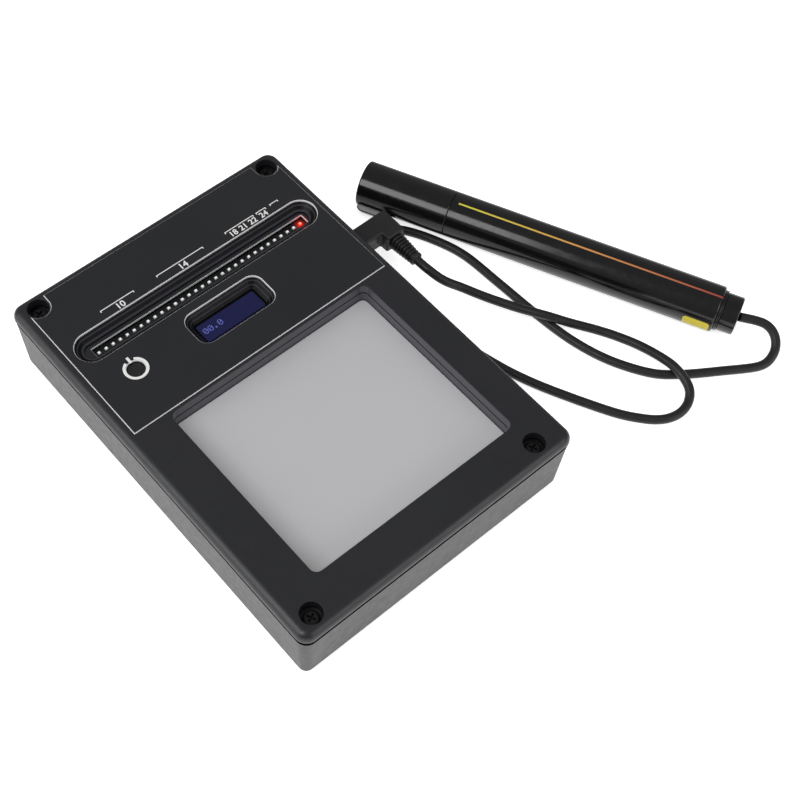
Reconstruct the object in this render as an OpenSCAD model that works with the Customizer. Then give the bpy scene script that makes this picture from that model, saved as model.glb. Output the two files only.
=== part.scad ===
// Counter-top electronic gold tester: a flat two-part case with a sunken test tray,
// a scale of small lamps, a display and a start button, and a marker-shaped probe on
// a plug-in lead that lies beside it. Millimetres, +Z up. The table is z = 0. Sizes
// and places are written about the middle of the case, +Y towards the scale end and
// +X towards the socket side; to_middle() then puts the origin under the middle of
// the whole set.

/* [Case] */
// Width of the case across the lid
case_w = 108; // [104:1:120]
// Length of the case along the lid
case_l = 150; // [146:1:165]
// Height of the case from its underside to the flat of the lid
case_h = 28; // [26.5:0.5:32]
// Height of the lid's side band
lid_band = 4.2; // [3.8:0.1:5]
// How far the lid stands out past the base, on each side
lid_overhang = 0.2; // [0.1:0.05:0.4]
// Height of the open groove between lid and base
seam_gap = 0.5; // [0.3:0.1:0.8]
// How much the base narrows towards its underside, on each side
base_draft = 1.15; // [0.6:0.05:1.5]
// Radius of the case's upright corners
corner_r = 4.1; // [3.8:0.1:6]
// Radius along the lid's top edge
lid_edge_r = 3; // [1:0.25:3.5]
// Radius along the base's bottom edge
base_edge_r = 1.2; // [0.5:0.1:1.6]
// Wall thickness of both shells
wall = 2.4; // [2:0.1:2.6]
// Thickness of the base's floor
floor_t = 2.6; // [2.4:0.1:3.2]
// Thickness of the lid's top
lid_t = 2.6; // [2.4:0.1:2.8]
// Depth of the tongue that locates the lid in the base
tongue_h = 2; // [1:0.25:3]

/* [Screws and feet] */
// Distance of the left screws from the left side
screw_left = 7.6; // [7.2:0.1:8]
// Distance of the far right screw from the right side
screw_right = 6.6; // [6.4:0.1:7.6]
// Distance of the near right screw from the right side
screw_near_right = 12.1; // [11:0.1:13]
// Distance of the screws from the case's two ends
screw_end = 6.2; // [6.2:0.1:6.8]
// Diameter of the screw wells in the lid
screw_well_d = 7.3; // [6.6:0.1:7.6]
// How much wider the panel's notches are than the screw wells
notch_more = 0.9; // [0.4:0.1:1.4]
// Depth of the screw wells
screw_well_h = 5; // [4:0.25:6]
// Diameter of a screw head
screw_head_d = 5.6; // [5:0.1:6]
// Diameter of a screw's shank
screw_d = 2.5; // [2:0.1:3]
// Length of a screw under its head
screw_l = 12; // [9:0.5:14]
// Diameter of the rubber feet
foot_d = 9; // [7:0.5:10]
// Height of the rubber feet under the case
foot_h = 1.5; // [1:0.25:3]
// Distance of the feet's centres from the case's sides and ends
foot_in = 9; // [8.6:0.2:12]

/* [Test tray] */
// Width of the tray's opening
tray_w = 79.2; // [70:1:84]
// Distance between the tray's far edge and the panel
tray_gap = 1.1; // [0.8:0.1:3]
// Offset of the tray's centre from the middle of the case, sideways
tray_x = 1.7; // [0:0.1:3]
// Distance of the tray's near edge from the case's near end
tray_near = 14.6; // [13:0.1:16]
// Depth from the lid's flat to the top of the test plate
tray_h = 7; // [4:0.25:8]
// Radius of the tray's corners
tray_r = 2.5; // [1:0.25:5]
// How much the tray's walls lean in towards the plate, on each side
tray_lean = 0.5; // [0:0.1:1.5]
// Thickness of the metal test plate
plate_t = 1; // [0.6:0.1:1.5]

/* [Faced panel] */
// Thickness of the two-layer engraved panel
panel_t = 0.8; // [0.6:0.1:1.2]
// Depth of the shallow bed that the panel is glued in
panel_sink = 0.5; // [0.2:0.1:0.6]
// Distance of the panel's left edge from the case's left side
panel_left = 3.7; // [3:0.1:4]
// Distance of the panel's right edge from the case's right side
panel_right = 2.9; // [2.5:0.1:3.4]
// Distance of the panel's far edge from the case's far end
panel_far = 3; // [2.5:0.1:3.5]
// Length of the panel from its far edge to the tray side
panel_l = 61.1; // [58:0.1:61.5]

/* [Lamp scale] */
// Number of lamps in the scale
lamp_count = 31; // [21:2:31]
// Distance between each end of the lamp slot and the end of the scale's opening
slot_in = 5; // [4:0.1:6]
// Side of one square lamp
lamp_s = 1.1; // [0.8:0.1:1.6]
// Height of one lamp
lamp_h = 0.8; // [0.5:0.1:1]
// Width of the scale's opening in the panel
scale_w = 11.5; // [9:0.5:12]
// Distance between each end of the scale's opening and the panel's side
scale_in = 2.4; // [2:0.1:4]
// Distance of the scale's centre line from the case's far end
scale_far = 29.5; // [28.5:0.1:31]
// Offset of the scale's centre from the middle of the panel, sideways
scale_off = 0.5; // [0:0.1:0.8]
// Depth of the sloped well round the lamp slot
scale_h = 3; // [2:0.25:3.2]
// How far the well's sides slope inwards
scale_slope = 2.2; // [1:0.1:2.5]
// Width of the lamp slot
slot_w = 3.9; // [3:0.1:4.5]
// Offset of the slot and its lamps to the right of the opening's centre
slot_right = 0.8; // [0:0.1:1]
// Offset of the slot from the opening's centre line, towards the tray
slot_near = 0.5; // [0:0.1:0.8]
// Offset of the lamps from the opening's centre line, towards the tray
lamp_near = 0.3; // [0:0.1:0.8]
// Thickness of the slotted strip
strip_t = 0.8; // [0.5:0.1:1]

/* [Display] */
// Width of the display's opening in the panel
window_w = 30.4; // [28:0.2:32]
// Length of the display's opening in the panel
window_l = 13.4; // [12:0.2:14]
// Corner radius of the display's opening
window_r = 4; // [2:0.25:5]
// Offset of the display's centre from the middle of the case, sideways
window_x = 1.1; // [0:0.1:2]
// Distance of the display's centre from the case's far end
window_far = 45.6; // [45:0.1:47]
// Width of the bare glass in the bottom of the display's well
view_w = 23.2; // [20:0.2:25]
// Length of the bare glass in the bottom of the display's well
view_l = 7.2; // [5:0.2:8]
// Depth of the display's well under the lid's flat
window_h = 4; // [3:0.1:4.2]
// Thickness of the display's glass
glass_t = 1.2; // [1:0.1:1.3]

/* [Start button] */
// Diameter of the start button
button_d = 6; // [5:0.1:6.4]
// Distance of the button from the case's left side
button_left = 18.2; // [17.6:0.1:19]
// Distance of the button from the case's far end
button_far = 45; // [44:0.1:46]
// How far the button goes down
button_travel = 0.5; // [0.3:0.05:0.5]
// Depth of the button's face under the panel's face
button_sunk = 0.9; // [0.6:0.1:1]

/* [Battery] */
// Width of the battery block
battery_w = 26.5; // [26:0.1:27]
// Length of the battery block
battery_l = 48.5; // [47:0.1:49]
// Height of the battery block
battery_h = 17.5; // [17:0.1:17.5]
// Offset of the battery from the middle of the case, sideways
battery_x = -22; // [-23:0.5:-21]
// Thickness of the battery door
door_t = 1.6; // [1.4:0.1:1.8]
// How far the door slides until it is off
door_travel = 58; // [40:1:60]

/* [Socket and plug] */
// Height of the socket's axis over the table
jack_z = 14.5; // [14:0.25:15]
// Distance of the socket's axis from the case's far end
jack_far = 42.8; // [38:0.2:46]
// Side of the plug's square moulding
plug_s = 7.8; // [7:0.1:8.6]
// Distance from the middle of the case to the lead's axis where it leaves the plug
elbow_x = 69.4; // [67:0.2:71]
// Length of the plug's pin outside its moulding
pin_l = 14; // [13:0.5:15]
// Diameter of the plug's pin
pin_d = 3.5; // [3.4:0.1:3.6]
// Length of the ribbed strain relief
relief_l = 11; // [9:0.5:13]
// Number of ribs on the strain relief
relief_ribs = 7; // [5:1:9]

/* [Probe] */
// Diameter of the probe's barrel and cap
pen_d = 16.4; // [15.6:0.2:18]
// Length of the whole probe
pen_l = 139; // [134:1:145]
// Length of the cap
cap_l = 33.6; // [30:0.2:38]
// Wall thickness of the cap and barrel
pen_wall = 1.3; // [1:0.1:1.5]
// Length of the narrower tail behind the barrel
tail_l = 5.6; // [4:0.2:8]
// Diameter of the tail
tail_d = 13.4; // [12:0.2:13.8]
// Length of the cap's clip
clip_l = 14; // [10:0.5:18]
// Width of the cap's clip
clip_w = 5; // [3:0.5:5]
// How far the clip stands off the cap
clip_h = 2; // [1.6:0.1:2]
// How far below level the clip points
clip_down = 33; // [20:1:35]
// Diameter of the felt tip
tip_d = 3.6; // [3:0.2:4]

/* [Lead] */
// Diameter of the lead
cord_d = 3.2; // [2.6:0.1:3.2]

/* [Hidden] */
$fn = 48;

// Small shared clearances: loose pieces, close fits, glued or clamped pieces
loose = 0.3;
close = 0.08;
snug = 0.02;
eps = 0.01;

// Levels, over the table
z_under = foot_h;
z_top = z_under + case_h;
z_seam = z_top - lid_band;
z_floor = z_under + floor_t;
z_ceiling = z_top - lid_t;
z_panel = z_top - panel_sink + panel_t;
z_plate = z_top - tray_h;
tray_floor_t = 2;
z_tray_under = z_plate - plate_t - tray_floor_t;
z_strip = z_top - scale_h;
z_glass = z_top - window_h;
z_front = z_glass - glass_t;
front_t = 1.6;
main_t = 1.6;
z_main = jack_z - 3;
z_boss = z_top - screw_well_h - 3.2 - 1.4;

// Places across and along
rim_w = case_w - 2 * lid_overhang;
rim_l = case_l - 2 * lid_overhang;
base_r = corner_r - lid_overhang;
panel_x0 = -case_w / 2 + panel_left;
panel_x1 = case_w / 2 - panel_right;
panel_y1 = case_l / 2 - panel_far;
panel_y0 = panel_y1 - panel_l;
tray_y0 = -case_l / 2 + tray_near;
tray_l = panel_y0 - tray_gap - tray_y0;
tray_y = tray_y0 + tray_l / 2;
scale_l = panel_x1 - panel_x0 - 2 * scale_in;
scale_x = (panel_x0 + panel_x1) / 2 + scale_off;
slot_l = scale_l - 2 * slot_in;
slot_end = 1.8;
lamp_pitch = (slot_l - 2 * slot_end) / (lamp_count - 1);
scale_y = case_l / 2 - scale_far;
window_y = case_l / 2 - window_far;
button_x = -case_w / 2 + button_left;
button_y = case_l / 2 - button_far;
jack_y = case_l / 2 - jack_far;
screw_xy = [
    [-case_w / 2 + screw_left, case_l / 2 - screw_end],
    [case_w / 2 - screw_right, case_l / 2 - screw_end],
    [-case_w / 2 + screw_left, -case_l / 2 + screw_end],
    [case_w / 2 - screw_near_right, -case_l / 2 + screw_end]];
boss_d = screw_d + 4.6;
lid_boss_d = screw_well_d + 3.2;

// The board behind the panel hangs from four posts under the lid
front_x0 = -case_w / 2 + 7;
front_x1 = case_w / 2 - 5;
front_y0 = panel_y0 + 8.6;
front_y1 = scale_y + 13;
front_in = 3.2;
front_xy = [for (x = [front_x0 + front_in, front_x1 - front_in],
    y = [front_y0 + front_in, front_y1 - front_in]) [x, y]];
post_d = 5;
board_screw_d = 2;
board_screw_l = 4;

// The main board stands on four posts on the floor, right of the battery
main_x0 = battery_x + battery_w / 2 + 5.2;
main_x1 = case_w / 2 - 6;
main_y0 = panel_y0 + 3;
main_y1 = case_l / 2 - 13;
main_in = 3;
main_xy = [for (x = [main_x0 + main_in, main_x1 - main_in],
    y = [main_y0 + main_in, main_y1 - main_in]) [x, y]];

// The contact under the tray, and the floor's low ribs beside it
contact_w = 1.8;
contact_x = tray_x - tray_w / 2 + 4.8;
contact_y = tray_y + tray_l / 2 - 8;
rib_t = 1.2;
rib_h = 3;
rib_x = -contact_x - 3.1;
rib_y = tray_l * 0.18;

// Parts on the main board: places from its near left corner, and sizes
chip_at = [12, 10];
chip_size = [10, 10, 1.4];
small_chip_at = [12, 26];
small_chip_size = [5, 6, 1.5];
small_chip_step = 10;
can_at = [8, 36];
can_d = 6.3;
can_h = 6;
trimmer_at = [28, 12];
trimmer_d = 5;
trimmer_h = 5.4;
bead_at = [32, 22];
bead_size = [2, 1.25, 0.6];
bead_step = 2.4;
link_at = [14, 9];
link_size = [15.2, 5];

// The battery lies on its door, with the snap at its far end
door_w = battery_w + 3;
door_rail = 1.3;
door_lip = 0.7;
door_y0 = panel_y0 + 0.8;
battery_y0 = door_y0 + 2.6;
battery_z0 = z_under + door_t + loose;
battery_y1 = battery_y0 + battery_l;
stud_l = 2.4;
stud_d = 5.6;
stud_x = 6.35;
snap_t = 3;
snap_w = 24.8;
snap_h = 12;

// The start button and its switch
switch_s = 6;
switch_h = 2.6;
z_switch = z_front + switch_h;
z_button = z_panel - button_sunk;
button_flange_t = 0.5;
button_flange_d = button_d + 2;
z_flange = z_switch + button_travel + 0.1;
plunger_d = 3.2;
plunger_up = 1.0;

// The socket and plug, along X through the right wall
wall_lean = base_draft * (z_seam - jack_z - plug_s / 2) / (z_seam - z_under);
plug_x0 = rim_w / 2 - wall_lean + loose;
plug_x1 = elbow_x + plug_s / 2;
relief_y = jack_y - plug_s / 2 - 3.4;
relief_end_y = relief_y - relief_l;
relief_d0 = 6.4;
relief_d1 = 4.9;
pin_seat_l = 5;
bush_d = 6;
socket_x1 = main_x1 + 2.4;
socket_x0 = socket_x1 - 15;

// The probe lies on its barrel; z runs from its cap's closed end to its tail
pen_r = pen_d / 2;
pen_x = 81.6;
pen_y = 55.5;
pen_turn = -64.56;
seam_z = cap_l;
ring_t = 1.2;
barrel_z1 = pen_l - tail_l - ring_t;
bore_r = pen_r - pen_wall;
neck_r = tail_d / 2 - 1.2;
nose_z0 = 9.5;
grip_z0 = 21;
reservoir_z0 = cap_l + 13;
reservoir_z1 = barrel_z1 - 22;
tail_in = 14;
cap_end_t = 1.6;

// Where the set's middle lies, so that it can be put on the origin
pen_reach = pen_x + (barrel_z1 - 1) * cos(pen_turn) - pen_r * sin(pen_turn);
tail_reach = pen_x + (pen_l - 0.5) * cos(pen_turn) - tail_d / 2 * sin(pen_turn);
set_x = (max(pen_reach, tail_reach) - case_w / 2) / 2;

// The lead's route: from the strain relief round and over itself, back along the
// case, under the plug, past the cap and back out to the probe's tail
pen_end = [pen_x + pen_l * cos(pen_turn), pen_y + pen_l * sin(pen_turn), pen_r];
lie = cord_d / 2;
cross_z = 1.6 * cord_d;
cord_route = [
    [elbow_x, relief_end_y, jack_z],
    [69.9, 8.6, 14], [72.5, 3.4, 11.2], [77.5, -1.5, 7.6], [82, -8.5, 5.8],
    [87.5, -18, cross_z], [93, -27, cross_z], [98.5, -33.5, 3], [105, -42, lie],
    [110, -53, 2], [111.3, -64, 4.4], [111.2, -71, cross_z], [109.9, -77.5, 3.8],
    [106.4, -80.9, 2.2], [101.2, -81.8, lie], [95.5, -80, lie], [90, -75, lie],
    [83.5, -65.5, lie], [72.5, -43, lie], [67, -26, lie], [63.3, -6.2, lie],
    [60.5, 13.7, lie], [63.9, 30, lie], [67.9, 37.9, lie], [74.4, 39.6, lie],
    [81.2, 34.7, lie], [87, 24.5, lie], [91, 12, lie], [92, -4.5, lie], [92.8, -22, lie],
    [94.5, -38, lie], [98.5, -52, lie], [105.5, -64.5, lie], [113, -71.5, lie],
    [124.5, -79.2, lie], [136.1, -86.2, lie], [142.6, -86.3, 3.1], [146.5, -82.7, 5.6],
    [146.4, -77.4, 7.6],
    pen_end];
cord_sides = 8;

// ---- shared shapes ----

module to_middle() translate([-set_x, 0, 0]) children();

module rounded(w, l, r) {
    square([w - 2 * r, l], center = true);
    square([w, l - 2 * r], center = true);
    for (x = [-1, 1], y = [-1, 1])
        translate([x * (w / 2 - r), y * (l / 2 - r)]) circle(r);
}

module slab(x0, x1, y0, y1, z0, z1, r = 0.5)
    translate([(x0 + x1) / 2, (y0 + y1) / 2, z0])
        linear_extrude(z1 - z0) rounded(x1 - x0, y1 - y0, r);

module at(points, z) for (p = points) translate([p[0], p[1], z]) children();

// A sunk opening whose sides slope in, from one rounded outline to a smaller one
module funnel(w0, l0, r0, w1, l1, r1, z0, z1) hull() {
    translate([0, 0, z1]) linear_extrude(eps) rounded(w0, l0, r0, $fn = 32);
    translate([0, 0, z0 - eps]) linear_extrude(eps) rounded(w1, l1, r1, $fn = 32);
}

// Radius of the base's corners at a height: it shrinks downwards with the draft
function drafted(z) = base_r - base_draft * (z_seam - z) / (z_seam - z_under);

module corner_posts(w, l, r) for (x = [-1, 1], y = [-1, 1])
    translate([x * (w / 2 - r), y * (l / 2 - r), 0]) children();

// The base's outer form, drawn in by inset on every side
module base_form(inset, z0, z1, edge) hull() corner_posts(rim_w, rim_l, base_r)
    rotate_extrude($fn = 32) polygon(concat([[0, z0]],
        edge > 0 ? [for (a = [0:22.5:90])
            [drafted(z0 + edge) - inset - edge * (1 - sin(a)), z0 + edge * (1 - cos(a))]]
            : [[max(0.3, drafted(z0) - inset), z0]],
        [[max(0.3, drafted(z1) - inset), z1], [0, z1]]));

// The lid's outer form with its rounded top edge
module lid_form() hull() corner_posts(case_w, case_l, corner_r)
    rotate_extrude($fn = 48) polygon(concat([[0, z_seam + seam_gap],
        [corner_r, z_seam + seam_gap]],
        [for (a = [0:15:90]) [corner_r - lid_edge_r * (1 - cos(a)),
            z_top - lid_edge_r * (1 - sin(a))]],
        [[0, z_top]]));

// ---- base ----

module base_color() color([0.13, 0.13, 0.14]) children();

module base_shell() base_color() difference() {
    union() {
        difference() {
            base_form(0, z_under, z_seam, base_edge_r);
            base_form(wall, z_floor, z_seam + 1, 0);
        }
        screw_bosses();
        at(main_xy, z_floor - eps) cylinder(d = post_d, h = z_main - main_t - z_floor);
        battery_bay();
        floor_ribs();
    }
    at(screw_xy, z_top - screw_well_h - screw_l - 1)
        cylinder(d = screw_d + 2 * snug, h = screw_l + 1);
    at(main_xy, z_main - main_t - board_screw_l)
        cylinder(d = board_screw_d + 2 * snug, h = board_screw_l + 1);
    door_slot();
    translate([rim_w / 2 - wall - 3, jack_y, jack_z]) rotate([0, 90, 0])
        cylinder(d = bush_d + 2 * close, h = wall + 6);
    foot_places(z_under - 1) cylinder(d = foot_d + 2 * close, h = 1.4);
}

module screw_bosses() intersection() {
    at(screw_xy, z_floor - eps) {
        cylinder(d = boss_d, h = z_boss - z_floor);
        for (a = [0, 90]) rotate([0, 0, a])
            translate([-5.5, -0.6, 0]) cube([11, 1.2, z_boss - z_floor - 4]);
    }
    base_form(wall / 2, z_under + 1, z_seam, 0);
}

module battery_bay() {
    gap = 0.5;
    rib = 1.6;
    y1 = battery_y1 + stud_l + snap_t + 1.4;
    difference() {
        slab(battery_x - battery_w / 2 - gap - rib, battery_x + battery_w / 2 + gap + rib,
            battery_y0 - gap - rib, y1 + rib, z_floor - eps, z_tray_under - 2.2, 1);
        slab(battery_x - battery_w / 2 - gap, battery_x + battery_w / 2 + gap,
            battery_y0 - gap, y1, z_under - 1, z_top, 0.6);
    }
}

// Low ribs that stiffen the floor under the tray
module floor_ribs() {
    for (x = [-rib_x, 0, rib_x]) translate([x - rib_t / 2, -case_l / 2 + 8, z_floor - eps])
        cube([rib_t, case_l / 2 + panel_y0 - 12, rib_h]);
    for (y = [tray_y - rib_y, tray_y + rib_y])
        translate([-case_w / 2 + 6, y - rib_t / 2, z_floor - eps])
            cube([case_w - 12, rib_t, rib_h]);
}

module foot_places(z) {
    x = case_w / 2 - foot_in;
    y = case_l / 2 - foot_in;
    at([[-x, y], [x, y], [-x, -y], [x, -y]], z) children();
}

// The door's T-shaped section: a flush plate whose upper half runs in two grooves
module door_section(gap, top_gap) {
    w = door_w + 2 * gap;
    translate([-w / 2, -1]) square([w, 1 + door_lip + gap]);
    translate([-w / 2 - door_rail, door_lip - gap])
        square([w + 2 * door_rail, door_t - door_lip + gap + top_gap]);
}

module door_run(y0, y1, gap, top_gap) translate([battery_x, y1, z_under])
    rotate([90, 0, 0]) linear_extrude(y1 - y0) door_section(gap, top_gap);

module door_slot() {
    door_run(door_y0 - 0.2, case_l, 0.15, 0.15);
    slab(battery_x - battery_w / 2 - 0.5, battery_x + battery_w / 2 + 0.5,
        battery_y0 - 0.5, battery_y1 + stud_l + snap_t + 1.4, z_under - 1, z_floor + 1, 0.6);
}

module battery_door() base_color() difference() {
    intersection() {
        door_run(door_y0, case_l, 0, 0);
        base_form(0, z_under, z_seam, base_edge_r);
    }
    for (k = [0:5]) translate([battery_x - 7, case_l / 2 - 12 - 2.4 * k, z_under - 0.5])
        cube([14, 1.1, 1]);
}

module rubber_feet() color([0.06, 0.06, 0.06]) foot_places(0) rotate_extrude()
    polygon([[0, 0], [foot_d / 2 - 0.5, 0], [foot_d / 2, 0.5], [foot_d / 2, foot_h + 0.4],
        [0, foot_h + 0.4]]);

// ---- lid ----

module lid() color([0.15, 0.15, 0.16]) difference() {
    union() {
        difference() {
            lid_form();
            lid_hollow();
        }
        lid_seat();
        tray_box();
        scale_box();
        window_box();
        lid_bosses();
        at(front_xy, z_front) cylinder(d = post_d, h = z_ceiling - z_front + 0.1);
    }
    tray_hollow();
    panel_bed();
    translate([scale_x, scale_y, 0]) scale_hollow();
    translate([window_x, window_y, 0]) funnel(window_w, window_l, window_r,
        view_w, view_l, 0.5, z_glass, z_top - panel_sink);
    at(screw_xy, z_top - screw_well_h) cylinder(d = screw_well_d, h = screw_well_h + 1);
    at(screw_xy, z_boss - 1) cylinder(d = screw_d + 0.8, h = screw_well_h + 6);
    at(front_xy, z_front - 1) cylinder(d = board_screw_d + 2 * snug, h = board_screw_l - 0.4);
    translate([button_x, button_y, z_flange - 1])
        cylinder(d = button_flange_d + 2 * loose, h = 1 + button_flange_t + loose);
    translate([button_x, button_y, z_flange])
        cylinder(d = button_d + 2 * close, h = 10);
    plate_slot();
}

module lid_hollow() {
    side = wall + lid_overhang;
    slab(-case_w / 2 + side, case_w / 2 - side, -case_l / 2 + side, case_l / 2 - side,
        z_seam - 5, z_ceiling, 1.6);
}

// The seat that rests on the base's rim, and the tongue that reaches inside it
module lid_seat() {
    side = wall + lid_overhang + 0.14 + base_draft * tongue_h / (z_seam - z_under);
    groove = 0.9;
    difference() {
        union() {
            slab(-rim_w / 2 + groove, rim_w / 2 - groove, -rim_l / 2 + groove,
                rim_l / 2 - groove, z_seam, z_seam + seam_gap + 0.2, base_r - groove);
            slab(-case_w / 2 + side, case_w / 2 - side, -case_l / 2 + side,
                case_l / 2 - side, z_seam - tongue_h, z_seam + 0.2, 1.6);
        }
        slab(-case_w / 2 + side + 1.2, case_w / 2 - side - 1.2, -case_l / 2 + side + 1.2,
            case_l / 2 - side - 1.2, z_seam - 5, z_top, 0.6);
    }
}

module tray_box() {
    w = tray_w / 2 + 1.8;
    l = tray_l / 2 + 1.8;
    slab(tray_x - w, tray_x + w, tray_y - l, tray_y + l, z_tray_under, z_top - 1, tray_r + 1.8);
}

module tray_hollow() translate([tray_x, tray_y, 0]) {
    funnel(tray_w + 0.04, tray_l + 0.04, tray_r, tray_w - 2 * tray_lean,
        tray_l - 2 * tray_lean, tray_r - 0.4, z_plate - plate_t, z_top + eps);
}

module scale_box() slab(scale_x - scale_l / 2 - 0.6, scale_x + scale_l / 2 + 0.2,
    scale_y - scale_w / 2 - 1, scale_y + scale_w / 2 + 1, z_strip, z_ceiling + 0.1, 4);

module scale_hollow() {
    funnel(scale_l, scale_w, scale_w / 2 - 0.01, scale_l - 2 * scale_slope,
        scale_w - 2 * scale_slope, scale_w / 2 - scale_slope - 0.01,
        z_strip + 0.7, z_top - panel_sink);
    w = scale_w - 2 * scale_slope - 1.2;
    translate([0, 0, z_strip - 1]) linear_extrude(2)
        rounded(scale_l - 2 * scale_slope - 1.2, w, w / 2 - 0.01);
}

module window_box() slab(window_x - window_w / 2 - 0.2, window_x + window_w / 2 + 0.2,
    window_y - window_l / 2 - 1, window_y + window_l / 2 + 0.6, z_glass, z_ceiling + 0.1, 1.5);

// Bosses down to the base's own, cut back where they would meet the base's walls
module lid_bosses() intersection() {
    at(screw_xy, z_boss) cylinder(d = lid_boss_d, h = z_ceiling - z_boss + 0.1);
    base_form(wall + 0.25, z_boss - 1, z_top, 0);
}

// The panel's outline, with open notches that leave the far screws free
module panel_outline(grow) difference() {
    notch = screw_well_d + notch_more - 2 * grow;
    translate([panel_x0 - grow, panel_y0 - grow])
        square([panel_x1 - panel_x0 + 2 * grow, panel_l + 2 * grow]);
    for (k = [0, 1]) translate([screw_xy[k][0], screw_xy[k][1]]) {
        circle(d = notch);
        translate([-notch / 2, 0]) square([notch, 20]);
    }
}

module panel_bed() translate([0, 0, z_top - panel_sink])
    linear_extrude(panel_sink + 1) panel_outline(0.1);

module lid_screws() color([0.1, 0.1, 0.11]) at(screw_xy, z_top - screw_well_h) difference() {
    union() {
        cylinder(d1 = screw_head_d, d2 = screw_head_d * 0.86, h = 1.9);
        translate([0, 0, -screw_l]) cylinder(d = screw_d, h = screw_l + eps);
    }
    for (a = [0, 90]) rotate([0, 0, a]) translate([-1.5, -0.35, 1]) cube([3, 0.7, 2]);
}

// ---- tray ----

plate_w = tray_w - 2 * tray_lean - 0.4;
plate_l = tray_l - 2 * tray_lean - 0.4;

module test_plate() color([0.72, 0.72, 0.73]) translate([tray_x, tray_y, z_plate - plate_t])
    linear_extrude(plate_t) rounded(plate_w, plate_l, tray_r - 0.5);

module plate_slot() translate([contact_x - 0.9, contact_y - 3, z_tray_under - 1])
    cube([contact_w + 0.6, 6, tray_floor_t + 4]);

// A leaf that stands on the floor and presses on the plate's underside
module plate_contact() color([0.8, 0.7, 0.4]) translate([contact_x, contact_y - 2, 0]) {
    translate([0, 0, z_floor + snug]) cube([0.5, 4, z_plate - plate_t - z_floor - 2 * snug]);
    translate([0, 0, z_floor + snug]) cube([contact_w, 4, 0.5]);
}

// ---- panel, lamps and display ----

module faced_panel() color([0.14, 0.14, 0.15]) translate([0, 0, z_top - panel_sink])
    linear_extrude(panel_t) difference() {
        panel_outline(0);
        translate([scale_x, scale_y]) rounded(scale_l, scale_w, scale_w / 2 - 0.01);
        translate([window_x, window_y]) rounded(window_w, window_l, window_r);
        translate([button_x, button_y]) circle(d = button_d + 2 * close);
    }

module slot_strip() color([0.12, 0.12, 0.13]) translate([scale_x, scale_y, z_strip - strip_t])
    linear_extrude(strip_t) difference() {
        square([scale_l - 2, scale_w + 0.6], center = true);
        translate([slot_right, -slot_near]) square([slot_l, slot_w], center = true);
    }

module front_board() color([0.05, 0.25, 0.15]) difference() {
    slab(front_x0, front_x1, front_y0, front_y1, z_front - front_t, z_front - snug, 1.5);
    at(front_xy, z_front - front_t - 1) cylinder(d = board_screw_d + 0.4, h = front_t + 2);
}

module lamps() color([0.92, 0.92, 0.9]) for (k = [0:lamp_count - 1])
    translate([scale_x + slot_right + (k - (lamp_count - 1) / 2) * lamp_pitch - lamp_s / 2,
        scale_y - lamp_near - lamp_s / 2, z_front]) cube([lamp_s, lamp_s, lamp_h]);

module display_glass() color([0.08, 0.1, 0.32]) slab(window_x - view_w / 2 - 2.6,
    window_x + view_w / 2 + 4, window_y - view_l / 2 - 1.4, window_y + view_l / 2 + 1.4,
    z_front, z_glass - snug, 0.4);

module front_board_screws() color([0.7, 0.7, 0.7]) at(front_xy, z_front - front_t)
    difference() {
        union() {
            translate([0, 0, -1.3]) cylinder(d = 3.8, h = 1.3 - snug);
            translate([0, 0, -eps - snug]) cylinder(d = board_screw_d, h = board_screw_l);
        }
        translate([-1.2, -0.25, -1.4]) cube([2.4, 0.5, 0.7]);
    }

// ---- start button ----

module tact_switch() color([0.2, 0.2, 0.2]) translate([button_x, button_y, z_front])
    difference() {
        translate([-switch_s / 2, -switch_s / 2, 0]) cube([switch_s, switch_s, switch_h]);
        translate([0, 0, 0.8]) cylinder(d = plunger_d + 2 * close, h = switch_h);
    }

module switch_plunger() color([0.75, 0.75, 0.72]) translate([button_x, button_y, 0])
    translate([0, 0, z_front + 0.8 + button_travel + 0.1])
        cylinder(d = plunger_d, h = z_switch + plunger_up - z_front - 0.9 - button_travel);

module start_button() color([0.1, 0.1, 0.1]) translate([button_x, button_y, 0])
    difference() {
        union() {
            translate([0, 0, z_flange]) cylinder(d = button_flange_d, h = button_flange_t);
            translate([0, 0, z_flange]) cylinder(d = button_d, h = z_button - z_flange - 0.3);
            translate([0, 0, z_button - 0.3])
                cylinder(d1 = button_d, d2 = button_d - 0.6, h = 0.3);
        }
        translate([0, 0, z_flange - 1])
            cylinder(d = plunger_d + 0.2, h = z_switch + plunger_up + snug - z_flange + 1);
    }

// ---- boards ----

module main_board() color([0.05, 0.25, 0.15]) difference() {
    slab(main_x0, main_x1, main_y0, main_y1, z_main - main_t, z_main - snug, 1);
    at(main_xy, z_main - main_t - 1) cylinder(d = board_screw_d + 0.4, h = main_t + 2);
}

module board_parts() color([0.08, 0.08, 0.09]) translate([main_x0, main_y0, z_main]) {
    translate(chip_at) cube(chip_size);
    for (k = [0, 1]) translate(small_chip_at + [k * small_chip_step, 0]) cube(small_chip_size);
    translate(can_at) cylinder(d = can_d, h = can_h);
    translate(trimmer_at) cylinder(d = trimmer_d, h = trimmer_h);
    for (k = [0:4]) translate(bead_at + [0, k * bead_step]) cube(bead_size);
}

module main_board_screws() color([0.7, 0.7, 0.7]) at(main_xy, z_main) difference() {
    union() {
        cylinder(d = 3.8, h = 1.3);
        translate([0, 0, -main_t - board_screw_l + 0.4])
            cylinder(d = board_screw_d, h = main_t + board_screw_l);
    }
    translate([-1.2, -0.25, 0.8]) cube([2.4, 0.5, 1]);
}

// A row of pins and its socket that join the two boards
module board_link() color([0.09, 0.09, 0.09])
    translate([main_x0 + link_at[0], main_y1 - link_at[1], z_main])
        cube([link_size[0], link_size[1], z_front - front_t - z_main - snug]);

// ---- power ----

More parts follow.
